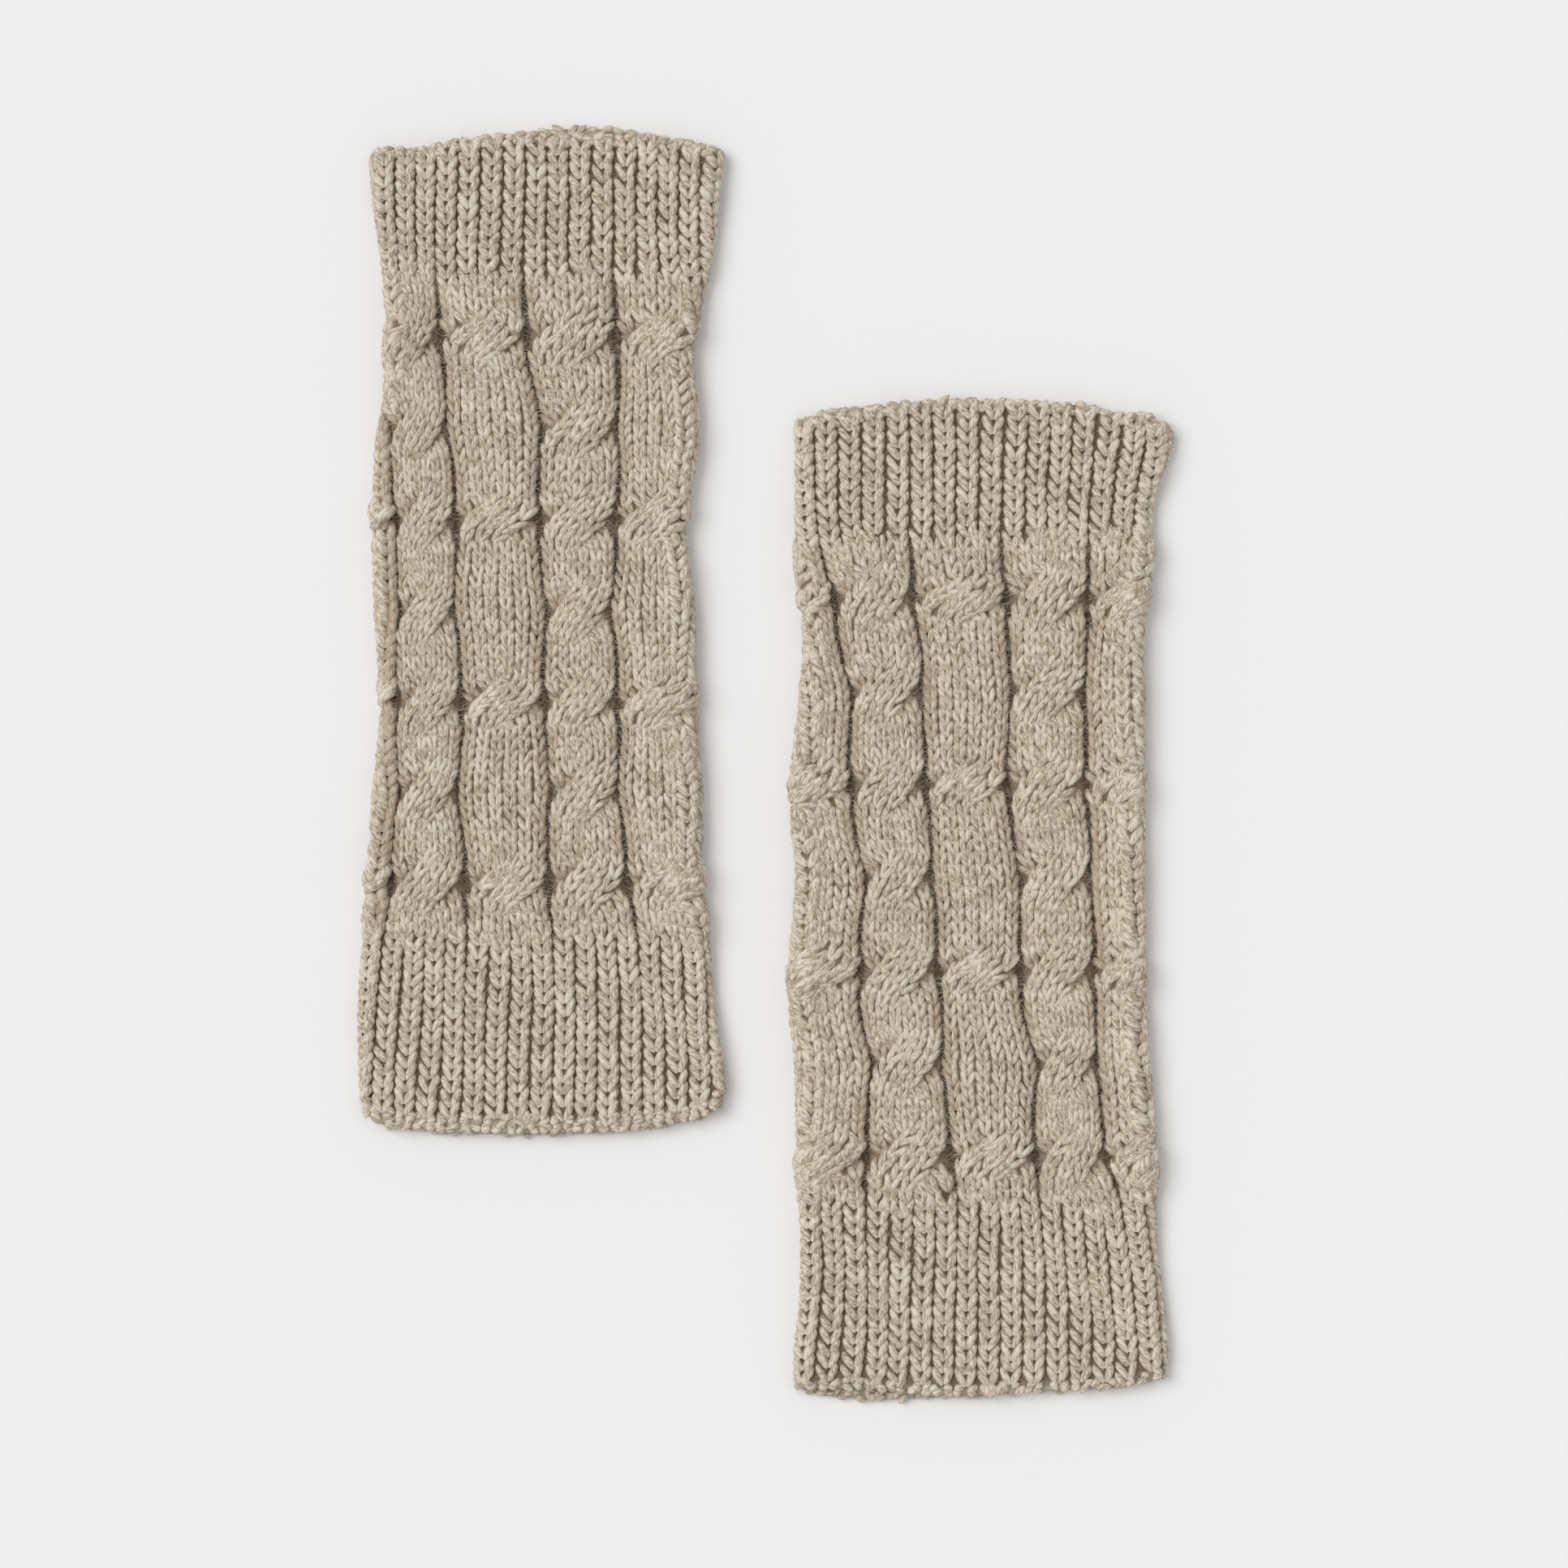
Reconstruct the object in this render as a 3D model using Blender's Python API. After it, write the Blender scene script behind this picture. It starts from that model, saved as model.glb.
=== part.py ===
"""A pair of cable-knit leg warmers, lying flat side by side.

Each one is a knitted tube pressed flat: a ribbed cuff, a leg of eight rope cables and a second ribbed
cuff. Metres, +Z up. The pair rests on z = 0, +Y runs from the hems to the upper rims, and the origin is
the middle of the footprint. Sizes in this file are in millimetres until place() turns them into metres.
"""

from dataclasses import dataclass
from functools import lru_cache

import bpy
import numpy as np

MM = 0.001

# The knitted cloth
BACK_WALL = 3.0  # the layer on the table, pressed flat
FRONT_WALL = 2.2  # the upper layer at the bottom of its grooves
CABLE_RELIEF = 4.4  # a cable above its grooves
RIB_RELIEF = 1.8
RIM_ROUNDING = 0.5  # share of the relief that is left at an open end

# The hollow between the two layers
SLIT_MIDDLE = 0.9
SLIT_FOLD = 2.4  # beside the folds, where the cloth resists bending
SLIT_MOUTH = 1.6  # at the open ends
MOUTH_DEPTH = 32.0

# The pattern round the tube
REPEATS = 8  # cables, and groups of ribs above and below them
RIBS_PER_REPEAT = 4
SIDE_BULGE = 1.0  # how far the relief stands past the folds' own curve
SEAM_GAP = 0.3  # between a cuff and the leg

# A cable and its crossings, where one strand passes over another. Widths are shares of a repeat.
CABLE_HALF = 0.51
STRAND_HALF = 0.29
CROSS_SHIFT = 0.245  # how far a strand's middle lies from the cable's, at both ends of a crossing
QUICK_REACH = 13.7  # from a crossing's middle to its end, along the tube
SLOW_REACH = 10.0
WAIST = 0.04  # how much narrower the cable is at a crossing
WAIST_REACH = 15.0
FRONT_RISE = 1.3  # relief of the strand in front, as a share of the cable's
TUCKED_RISE = 0.2  # and of the strand behind, where it dives under the one in front
TUCK_WIDTH = 0.25  # from there to its full height
NECK_SPREAD = 0.18  # how much the strand in front spreads in the middle of a crossing
NOTCH_FILL = 0.45  # relief beside a crossing's neck, as a share of the cable's
LEG_BLEND = 8.0  # height over which the cables sink towards the ribs
LEG_END = 0.45  # share of their relief that would be left at the end of it

# How finely the surfaces are divided
ROWS_PER_CROSSING = 5
CABLE_STEPS = (0.0, 0.06, 0.17, 0.33, 0.5, 0.67, 0.83, 0.94)
FOLD_STEPS = (0.0, 0.06, 0.14, 0.23, 0.32, 0.41, 0.5, 0.59, 0.68, 0.77, 0.86, 0.94)
RIB_STEPS = (0.0, 0.22, 0.5, 0.78)
BACK_STEPS = (0.0, 0.5)
RIM_FADE = (0.0, 0.025, 0.09)  # rows close behind an open end, as shares of a cuff's length
CUFF_ROWS = (0.3, 0.53, 0.76, 1.0)
LEG_INNER_EVERY = 6  # the inside of a leg is plain, so it keeps one row in six
PROFILE_POINTS = 160


def table(columns, *rows):
    """Named columns of a short table, with a row for each place along the tube or across an end."""
    return dict(zip(columns.split(), np.array(rows, float).T))


@dataclass(eq=False)
class Warmer:
    """One leg warmer. Heights called up are measured along the tube from its hem line."""

    name: str
    axis_x: float
    hem_y: float
    leg_from: float
    leg_to: float
    first_crossing: float
    crossing_step: float  # a quick cable crosses at each step, a slow one at every second
    repeat_width: float  # of the cables that show, about
    quick_parity: int  # quick cables are the repeats whose number has this parity
    first_groove: int  # number of the first groove that the sections place
    fine_repeats: range  # those that show, which are divided finely
    fold_repeats: tuple  # those that go round a fold, which are divided more finely
    sections: dict
    upper_rim: dict
    lower_rim: dict


# In both tables, left and right are the outline and g0 to g4 the grooves between cables, all measured
# across the tube from its axis. A groove past the outline has gone round the fold by that much.
LEFT = Warmer(
    name="left",
    axis_x=-89.4,
    hem_y=-148.5,
    leg_from=80.0,
    leg_to=343.0,
    first_crossing=100.1,
    crossing_step=36.3,
    repeat_width=32.0,
    quick_parity=0,
    first_groove=0,
    fine_repeats=range(-1, 5),
    fold_repeats=(-1, 0, 3),
    sections=table(
        "up left right g0 g1 g2 g3 g4",
        (0.0, -71.0, 71.5, -68.5, -33.0, 4.0, 40.5, 77.0),
        (17.0, -72.5, 74.3, -67.5, -32.0, 4.6, 40.6, 77.0),
        (54.0, -72.8, 68.3, -65.3, -30.3, 5.5, 40.0, 75.4),
        (81.0, -70.9, 66.8, -63.1, -29.4, 5.0, 38.5, 73.0),
        (99.0, -68.6, 63.4, -60.8, -29.6, 2.6, 34.8, 67.6),
        (136.0, -66.0, 63.3, -58.2, -33.0, 2.9, 31.5, 67.2),
        (168.0, -62.7, 61.4, -58.2, -31.2, 1.3, 30.9, 63.7),
        (209.0, -65.2, 60.5, -57.9, -34.1, 1.3, 28.9, 64.4),
        (243.0, -66.3, 56.2, -58.5, -33.8, -1.3, 30.2, 61.1),
        (278.0, -65.0, 62.6, -61.0, -36.6, -0.3, 31.5, 66.0),
        (314.0, -61.0, 59.4, -66.3, -39.3, -5.9, 30.6, 63.0),
        (330.0, -60.2, 63.6, -69.0, -41.5, -6.8, 29.6, 64.4),
        (347.0, -63.7, 67.9, -72.2, -42.9, -7.2, 28.9, 64.2),
        (372.0, -67.6, 70.5, -74.8, -42.3, -6.5, 28.9, 63.7),
        (398.0, -69.2, 73.4, -75.4, -41.6, -5.9, 29.3, 65.0),
    ),
    upper_rim=table(
        "across front back",
        (-1.0, 392.4, 392.4),
        (-0.85, 395.4, 394.6),
        (-0.7, 393.8, 395.0),
        (-0.52, 397.9, 397.0),
        (-0.25, 399.8, 399.6),
        (0.05, 399.6, 403.2),
        (0.35, 399.8, 403.0),
        (0.6, 399.3, 399.6),
        (0.85, 396.8, 396.2),
        (1.0, 393.2, 393.2),
    ),
    lower_rim=table(
        "across front back",
        (-1.0, 8.5, 8.5),
        (-0.86, 3.2, 2.6),
        (-0.5, 0.9, 0.1),
        (0.0, 0.5, -0.5),
        (0.35, 1.0, 0.2),
        (0.62, 2.9, 2.3),
        (0.86, 6.4, 6.2),
        (1.0, 11.0, 11.0),
    ),
)

RIGHT = Warmer(
    name="right",
    axis_x=82.9,
    hem_y=-253.8,
    leg_from=79.0,
    leg_to=343.0,
    first_crossing=96.6,
    crossing_step=37.1,
    repeat_width=32.5,
    quick_parity=1,
    first_groove=1,
    fine_repeats=range(0, 5),
    fold_repeats=(0, 4),
    sections=table(
        "up left right g1 g2 g3 g4",
        (0.0, -70.8, 76.6, -44.2, -7.8, 29.3, 66.3),
        (15.0, -71.8, 78.3, -43.4, -7.2, 29.3, 65.9),
        (33.0, -69.6, 76.7, -42.3, -6.8, 29.3, 65.3),
        (54.0, -68.9, 73.8, -41.6, -6.5, 28.6, 63.1),
        (79.0, -68.9, 72.5, -42.6, -5.2, 27.3, 59.2),
        (97.0, -68.3, 71.5, -43.2, -8.8, 24.1, 53.0),
        (134.0, -69.2, 68.6, -41.0, -11.7, 25.4, 49.7),
        (160.0, -72.0, 66.6, -46.0, -13.0, 19.0, 48.8),
        (209.0, -68.9, 66.6, -43.6, -15.6, 18.5, 47.5),
        (246.0, -71.2, 66.3, -49.7, -18.5, 13.0, 45.2),
        (281.0, -67.0, 67.0, -48.8, -19.8, 14.6, 44.9),
        (300.0, -65.7, 66.0, -53.3, -21.1, 14.3, 45.5),
        (318.0, -67.0, 68.0, -55.3, -23.1, 13.0, 46.5),
        (342.0, -71.2, 71.4, -62.4, -25.0, 11.4, 46.5),
        (359.0, -70.9, 71.0, -63.1, -25.0, 11.7, 47.1),
        (379.0, -69.9, 80.3, -63.4, -25.0, 12.4, 49.1),
        (398.0, -72.2, 79.0, -63.4, -25.4, 12.7, 50.1),
    ),
    upper_rim=table(
        "across front back",
        (-1.0, 390.8, 390.8),
        (-0.85, 393.2, 394.8),
        (-0.68, 394.4, 397.0),
        (-0.45, 398.2, 397.4),
        (-0.1, 399.6, 398.6),
        (0.3, 398.4, 397.6),
        (0.52, 397.9, 397.0),
        (0.68, 394.2, 394.6),
        (0.86, 394.0, 392.6),
        (1.0, 388.4, 388.4),
    ),
    lower_rim=table(
        "across front back",
        (-1.0, 3.4, 3.4),
        (-0.84, 4.0, 0.4),
        (-0.6, 3.6, -1.2),
        (-0.35, 1.9, -0.6),
        (0.0, 1.2, 0.4),
        (0.4, 2.9, 2.4),
        (0.75, 4.2, 3.6),
        (1.0, 9.0, 9.0),
    ),
)


def half_width(warmer, up):
    """Half the width of the tube, and the middle of it, at a height."""
    left = np.interp(up, warmer.sections["up"], warmer.sections["left"])
    right = np.interp(up, warmer.sections["up"], warmer.sections["right"])
    return (right - left) / 2, (right + left) / 2


def slit(warmer, across, up):
    """How high the hollow is at a place across the tube, from -1 to 1, and at a height."""
    top = warmer.upper_rim["front"].max()
    from_mouth = np.clip(min(up, top - up) / MOUTH_DEPTH, 0, 1)
    at_mouth = (1 - from_mouth) ** 2 * (1 - np.abs(across) ** 3)
    beside_fold = np.abs(across) ** 8
    return (
        SLIT_MIDDLE
        + (SLIT_MOUTH - SLIT_MIDDLE) * at_mouth
        + (SLIT_FOLD - SLIT_MIDDLE) * beside_fold
    )


def flat_loop(turn, half, low, high_at):
    """Points of a pressed-flat loop: over the top, down the right fold, back below, up the left fold.

    turn runs once round from 0 to 1, and high_at gives the height of the top across the loop.
    """
    fold = high_at(1.0) / 2 - low / 2
    corners = np.array([0, 0.4, 0.5, 0.9, 1.0])
    stretch = np.clip(np.searchsorted(corners, turn, side="right") - 1, 0, 3)
    share = (turn - corners[stretch]) / (corners[stretch + 1] - corners[stretch])
    flat = half - fold
    on_top = stretch == 0
    right_fold = stretch == 1
    below = stretch == 2
    angle = np.pi * share
    across = np.where(below, 1 - 2 * share, 2 * share - 1)
    x = np.where(right_fold, flat + fold * np.sin(angle), -flat - fold * np.sin(angle))
    x = np.where(on_top | below, across * flat, x)
    z = low + fold * np.where(right_fold, 1 + np.cos(angle), 1 - np.cos(angle))
    z = np.where(on_top, high_at(across), z)
    return x, np.where(below, low, z)


@lru_cache(maxsize=None)
def loops(warmer, up):
    """The outer loop without relief, its outward normal and its length so far, and the inner loop."""
    half, middle = half_width(warmer, up)
    turn = np.linspace(0, 1, PROFILE_POINTS + 1)

    def roof(across):
        return BACK_WALL + slit(warmer, across, up)

    x, z = flat_loop(turn, half - SIDE_BULGE, 0.0, lambda across: roof(across) + FRONT_WALL)
    steps = np.hypot(np.diff(x), np.diff(z))
    so_far = np.concatenate([[0], np.cumsum(steps)])
    inner_x, inner_z = flat_loop(turn, half - SIDE_BULGE - FRONT_WALL, BACK_WALL, roof)
    normal_x, normal_z = -np.gradient(z, so_far), np.gradient(x, so_far)
    # The length is counted from the axis, so that it agrees with the widths in the tables.
    start = np.interp(-middle, x[: PROFILE_POINTS // 3], so_far[: PROFILE_POINTS // 3])
    return {
        "length": so_far - start,
        "x": x + middle,
        "z": z,
        "normal_x": normal_x,
        "normal_z": normal_z,
        "inner_x": inner_x + middle,
        "inner_z": inner_z,
    }


def groove(warmer, number, up, around):
    """Where a groove lies along the loop, counted from the axis. Those behind share what is left evenly."""
    placed = [name for name in warmer.sections if name.startswith("g")]
    first, last = warmer.first_groove, warmer.first_groove + len(placed) - 1
    at = [np.interp(up, warmer.sections["up"], warmer.sections[name]) for name in placed]
    pitch = (around - (at[-1] - at[0])) / (REPEATS - (last - first))
    if number < first:
        return at[0] - (first - number) * pitch
    if number > last:
        return at[-1] + (number - last) * pitch
    return at[number - first]


def round_over(offset):
    """Height of a round back from -1 to 1, and 0 beyond."""
    return max(0.0, 1 - offset**2) ** 0.5


def flat_back(offset):
    """Height of a fuller back with steep sides from -1 to 1, and 0 beyond."""
    return max(0.0, 1 - abs(offset) ** 2.5) ** 0.55


def whole_back(offset):
    """Height of a whole cable's back from -1 to 1, and 0 beyond."""
    return max(0.0, 1 - abs(offset) ** 2.1) ** 0.6


def rib_relief(share):
    """Height of the ribs across one repeat, as a share of RIB_RELIEF."""
    return round_over(2 * ((share * RIBS_PER_REPEAT) % 1.0) - 1)


def cable_relief(warmer, repeat, share, up):
    """Height of a cable across one repeat, as a share of CABLE_RELIEF."""
    quick = repeat % 2 == warmer.quick_parity
    step = warmer.crossing_step * (1 if quick else 2)
    reach = QUICK_REACH if quick else SLOW_REACH
    past = (up - warmer.first_crossing) / step
    distance = (past - round(past)) * step
    along = float(np.clip(distance / reach, -1, 1))
    lift = (1 - along**2) ** 1.4
    waist = 1 - WAIST * np.exp(-((distance / WAIST_REACH) ** 2))
    across = (share - 0.5) / waist
    dome = whole_back(across / CABLE_HALF)
    # Each strand's middle moves over in a smooth step, and it is wider across where it slants.
    shift = CROSS_SHIFT * along * (3 - along**2) / 2
    slope = 1.5 * CROSS_SHIFT * warmer.repeat_width * (1 - along**2) / reach
    half = STRAND_HALF * np.hypot(1, slope) * (1 + NECK_SPREAD * lift)
    untucked = float(np.clip((abs(across - shift) - half) / TUCK_WIDTH, 0, 1))
    front = FRONT_RISE * flat_back((across - shift) / half)
    behind = (TUCKED_RISE + (1 - TUCKED_RISE) * untucked) * flat_back((across + shift) / half)
    return (1 - lift) * dome + lift * max(front, behind, NOTCH_FILL * dome)


def point(warmer, repeat, share, up, relief):
    """The outer and the inner point at a share of a repeat and a height, in the tube's own axes."""
    loop = loops(warmer, up)
    around = loop["length"][-1] - loop["length"][0]
    left = groove(warmer, repeat, up, around)
    right = groove(warmer, repeat + 1, up, around)
    length = left + share * (right - left)
    length = loop["length"][0] + (length - loop["length"][0]) % around

    def at(name):
        return float(np.interp(length, loop["length"], loop[name]))

    # The relief dies away round the folds, so the side on the table stays flat.
    facing = np.clip((at("normal_z") + 0.9) / 1.9, 0, 1)
    out = relief * facing
    outer = (at("x") + out * at("normal_x"), max(0.0, at("z") + out * at("normal_z")))
    return outer, (at("inner_x"), at("inner_z"))


def columns(warmer, steps, fold_steps):
    """(repeat, share) of each column round the tube, close together where the repeat shows."""
    first = warmer.fine_repeats.start
    places = []
    for repeat in range(first, first + REPEATS):
        shares = steps if repeat in warmer.fine_repeats else BACK_STEPS
        shares = fold_steps if repeat in warmer.fold_repeats else shares
        places += [(repeat, share) for share in shares]
    return places


def rim(warmer, rim_table, repeat, share, up):
    """How high an open end lies at a column: it waves, and its front and back differ."""
    (x, z), _ = point(warmer, repeat, share, up, 0.0)
    half, middle = half_width(warmer, up)
    across = np.clip((x - middle) / half, -1, 1)
    loop_top = BACK_WALL + slit(warmer, across, up) + FRONT_WALL
    frontness = np.clip(z / loop_top, 0, 1)
    front = np.interp(across, rim_table["across"], rim_table["front"])
    back = np.interp(across, rim_table["across"], rim_table["back"])
    return back + (front - back) * frontness


def tube(places, rows, inner_rows):
    """Points and faces of a closed wall: rows of outer points, rows of inner ones, and both ends.

    rows and inner_rows hold, for each row, a list of (x, up, z) in the order of the columns.
    """
    count = len(places)
    points = [p for row in rows for p in row] + [p for row in inner_rows for p in row]
    base = len(rows) * count
    faces = []

    def skin(start, how_many, outwards):
        for row in range(how_many - 1):
            for column in range(count):
                after = (column + 1) % count
                here = start + row * count
                quad = (here + column, here + after, here + count + after, here + count + column)
                faces.append(quad if outwards else quad[::-1])

    skin(0, len(rows), True)
    skin(base, len(inner_rows), False)
    last_outer = (len(rows) - 1) * count
    last_inner = base + (len(inner_rows) - 1) * count
    for column in range(count):
        after = (column + 1) % count
        faces.append((column, base + column, base + after, after))
        faces.append((last_outer + column, last_outer + after, last_inner + after, last_inner + column))
    return points, faces


def cuff(warmer, end):
    """A ribbed cuff between the leg and an open end, which is 'lower' or 'upper'."""
    places = columns(warmer, rib_steps(), rib_steps())
    at_leg = warmer.leg_from - SEAM_GAP / 2 if end == "lower" else warmer.leg_to + SEAM_GAP / 2
    rim_table = warmer.lower_rim if end == "lower" else warmer.upper_rim
    nominal = rim_table["front"].mean()
    shares = RIM_FADE + CUFF_ROWS
    rows, inner_rows = [], []
    for share_up in shares:
        row, inner_row = [], []
        fade = RIM_ROUNDING + (1 - RIM_ROUNDING) * min(1.0, share_up / RIM_FADE[-1])
        for repeat, share in places:
            start = rim(warmer, rim_table, repeat, share, nominal)
            up = start + (at_leg - start) * share_up
            relief = RIB_RELIEF * rib_relief(share) * fade
            (x, z), (inner_x, inner_z) = point(warmer, repeat, share, up, relief)
            row.append((x, up, z))
            inner_row.append((inner_x, up, inner_z))
        rows.append(row)
        inner_rows.append(inner_row)
    inner_rows = [inner_rows[0], inner_rows[len(RIM_FADE)], inner_rows[-1]]
    if end == "upper":
        rows, inner_rows = rows[::-1], inner_rows[::-1]
    return tube(places, rows, inner_rows)


def rib_steps():
    """The shares of a repeat at which its ribs are divided."""
    return [(rib + step) / RIBS_PER_REPEAT for rib in range(RIBS_PER_REPEAT) for step in RIB_STEPS]


def leg(warmer):
    """The cabled leg between the two cuffs."""
    places = columns(warmer, CABLE_STEPS, FOLD_STEPS)
    low, high = warmer.leg_from + SEAM_GAP / 2, warmer.leg_to - SEAM_GAP / 2
    spacing = warmer.crossing_step / ROWS_PER_CROSSING
    first = warmer.first_crossing - spacing * int((warmer.first_crossing - low) / spacing)
    between = np.arange(first, high, spacing)
    # A row that nearly meets an end would make slivers.
    between = between[(between - low > spacing / 3) & (high - between > spacing / 3)]
    heights = [low, *between, high]
    rows, inner_rows = [], []
    for number, up in enumerate(heights):
        row, inner_row = [], []
        from_end = min(up - low, high - up) + LEG_BLEND / 4
        sink = LEG_END + (1 - LEG_END) * min(1.0, from_end / LEG_BLEND)
        for repeat, share in places:
            relief = CABLE_RELIEF * sink * cable_relief(warmer, repeat, share, up)
            (x, z), (inner_x, inner_z) = point(warmer, repeat, share, up, relief)
            row.append((x, up, z))
            inner_row.append((inner_x, up, inner_z))
        rows.append(row)
        if number % LEG_INNER_EVERY == 0 or number == len(heights) - 1:
            inner_rows.append(inner_row)
    return tube(places, rows, inner_rows)


def yarn_material():
    """Matt oatmeal yarn."""
    material = bpy.data.materials.new("oatmeal yarn")
    material.use_nodes = True
    shader = material.node_tree.nodes["Principled BSDF"]
    shader.inputs["Base Color"].default_value = (0.445, 0.381, 0.301, 1)
    shader.inputs["Roughness"].default_value = 0.95
    shader.inputs["Metallic"].default_value = 0.0
    return material


def place(name, shape, parent, material):
    """Makes one node in metres from points and faces in millimetres."""
    points, faces = shape
    mesh = bpy.data.meshes.new(name)
    mesh.from_pydata([tuple(MM * value for value in p) for p in points], [], faces)
    mesh.materials.append(material)
    mesh.shade_smooth()
    node = bpy.data.objects.new(name, mesh)
    bpy.context.scene.collection.objects.link(node)
    node.parent = parent


def main():
    for old in list(bpy.data.objects):
        bpy.data.objects.remove(old)
    material = yarn_material()
    for warmer in (LEFT, RIGHT):
        axis = bpy.data.objects.new(f"{warmer.name}_warmer", None)
        axis.location = (warmer.axis_x * MM, warmer.hem_y * MM, 0)
        bpy.context.scene.collection.objects.link(axis)
        place(f"{warmer.name}_lower_cuff", cuff(warmer, "lower"), axis, material)
        place(f"{warmer.name}_leg", leg(warmer), axis, material)
        place(f"{warmer.name}_upper_cuff", cuff(warmer, "upper"), axis, material)


main()
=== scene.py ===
"""The looks of a pair of cable-knit leg warmers that lie flat side by side.

Every stitch that shows is a short length of plied yarn, bent over the shape of the cloth. Each leg warmer
is a thin shell of cloth with its stitches on it. Sizes in this file are in millimetres up to the moment
when a mesh is made, and the frame's sizes are in metres. +Z is up, and +Y runs from the hems to the upper
rims.
"""

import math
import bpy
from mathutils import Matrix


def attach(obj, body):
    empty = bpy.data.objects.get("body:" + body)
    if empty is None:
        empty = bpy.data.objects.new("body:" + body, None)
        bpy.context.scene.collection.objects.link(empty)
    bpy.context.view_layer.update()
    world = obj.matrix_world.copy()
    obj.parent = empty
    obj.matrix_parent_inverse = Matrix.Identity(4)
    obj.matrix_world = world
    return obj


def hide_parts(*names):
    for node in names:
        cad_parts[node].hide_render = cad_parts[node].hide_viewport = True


bl_info = {
    "name": "Cable-knit leg warmers",
    "version": (1, 0, 0),
    "blender": (4, 5, 0),
    "location": "3D View > Sidebar > Knitwear",
    "description": "Knits a pair of cabled leg warmers stitch by stitch over their solids",
    "category": "Add Mesh",
}

from dataclasses import dataclass

import bpy
import numpy as np
from bpy.props import FloatProperty, FloatVectorProperty, IntProperty, PointerProperty, StringProperty
from mathutils import Vector

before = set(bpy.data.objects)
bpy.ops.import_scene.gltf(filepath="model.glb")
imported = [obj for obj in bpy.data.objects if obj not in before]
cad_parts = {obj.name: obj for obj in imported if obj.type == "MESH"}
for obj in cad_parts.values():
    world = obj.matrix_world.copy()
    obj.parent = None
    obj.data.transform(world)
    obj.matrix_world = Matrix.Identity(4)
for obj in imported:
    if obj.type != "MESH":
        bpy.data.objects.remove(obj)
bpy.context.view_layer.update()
MM = 0.001
FLOOR = 3.0  # half the side of the pale surface, in metres

# The cloth, as its solids have it
BACK_WALL = 3.0
FRONT_WALL = 2.2
CABLE_RELIEF = 4.4
RIB_RELIEF = 1.8
SLIT_MIDDLE = 0.9
SLIT_FOLD = 2.4
SLIT_MOUTH = 1.6
MOUTH_DEPTH = 32.0
SIDE_BULGE = 1.0

# The pattern round the tube and along it
REPEATS = 8
CABLE_STITCHES = 6
GROUP = 3  # stitches in each of the two strands that cross
GROOVE_SHARE = 0.024  # of a repeat, on each side of a cable
RIBS_PER_REPEAT = 4
LEG_ROWS = 57
USUAL_ROW = 4.6
CUFF_ROWS = {"upper": 11, "lower": 15}
EDGE_WANDER = 2.6  # how far the line between a cuff and the leg strays
ARCH = 4.5  # how much further the ribs reach beside a groove than over a cable's middle
LEG_BLEND = 8.0  # height over which the cables sink to the ribs
LEG_LEAD = 2.0  # how far past that line they do so

# A crossing, which reaches so far from its middle to each end, along the tube
QUICK_REACH = 13.7
SLOW_REACH = 10.0
LIFT_POWER = 1.4  # how soon its strands settle towards its ends
FRONT_RISE = 1.3  # relief of the strand in front, as a share of the cable's
TUCKED_RISE = 0.2  # and of the strand behind, where it dives under the one in front
TUCK_WIDTH = 1.5  # in stitches, from there to its full height
NOTCH_FILL = 0.45  # relief beside its neck, as a share of the cable's
NECK_SPREAD = 0.18  # how much the strand in front spreads in its middle
WAIST = 0.04  # how much narrower the cable is there, as a share
WAIST_REACH = 15.0
GIVE = 0.07  # how much wider a slow cable is where only its neighbours cross, as a share
GIVE_REACH = 11.0

# Round backs: half of their width in stitches, and the two powers that make them full
CABLE_HALF = GROUP + 0.12
CABLE_BACK = (2.1, 0.6)
STRAND_HALF = 1.75
STRAND_BACK = (2.5, 0.55)

# The stitches
USUAL_WIDTH = 5.1  # of a cable's stitch; the yarn is fuller where its stitches are wider
FULLNESS = (0.95, 1.2)  # the least and the most of that
STRETCHED_PLUMP = 0.12  # how much fuller the long stitches of a crossing are
CLOSE_LEAN = 0.8  # strands that lean more than this, in radians, have twice the stitches
SLANT_STRETCH = 0.85  # how much longer leaning stitches are, as a power of the slope
CLOSE_STRETCH = 0.3  # and where there are twice as many
EDGE_LAP = 0.4  # how far the last stitches of a cable reach past its end, in rows
LOW_SHADE = 2.4  # how much painted shade darkens the yarn where a cable lies low
SHADE_POWER = 1.5
SWELL = 0.6  # how much of the widening round a fold the yarn makes up for, as a power
FOLD_STEP = 0.08  # of a repeat, over which that widening is measured
RIB_TOP = 1.4  # the middle height of a rib's stitches
RIB_FILL = {"upper": 1.0, "lower": 1.02}  # how much of a rib's pitch its stitches take
RIB_PLUMP = 1.16  # the yarn in the ribs is looser and fuller
RIB_LEAN = -0.07  # the ribs' stitches lean to the left, in radians
FACES_UP = 0.12  # a stitch whose normal sinks more than this is on the underside
UNDERSIDE_LIFT = 0.35  # how much of their lift strands keep where they are pressed flat

# How uneven they are: the least and most shares, or the seed and size of a smooth wander and the size
# of each stitch's own scatter
THICKNESS = (0.93, 1.07)
LEG_LENGTH = (0.95, 1.06)
RIB_LENGTH = (0.96, 1.08)
LEG_STRAY = {"lean": (3, 0.09, 0.09), "across": (6, 0.4, 0.12), "up": (4, 0.7, 0.2)}
RIB_STRAY = {"lean": (5, 0.08, 0.08), "across": (7, 0.5, 0.12), "up": (4, 0.6, 0.2)}
EDGE_SEED = 12  # of the line between a cuff and the leg
LUMP_SEED = 9

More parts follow.
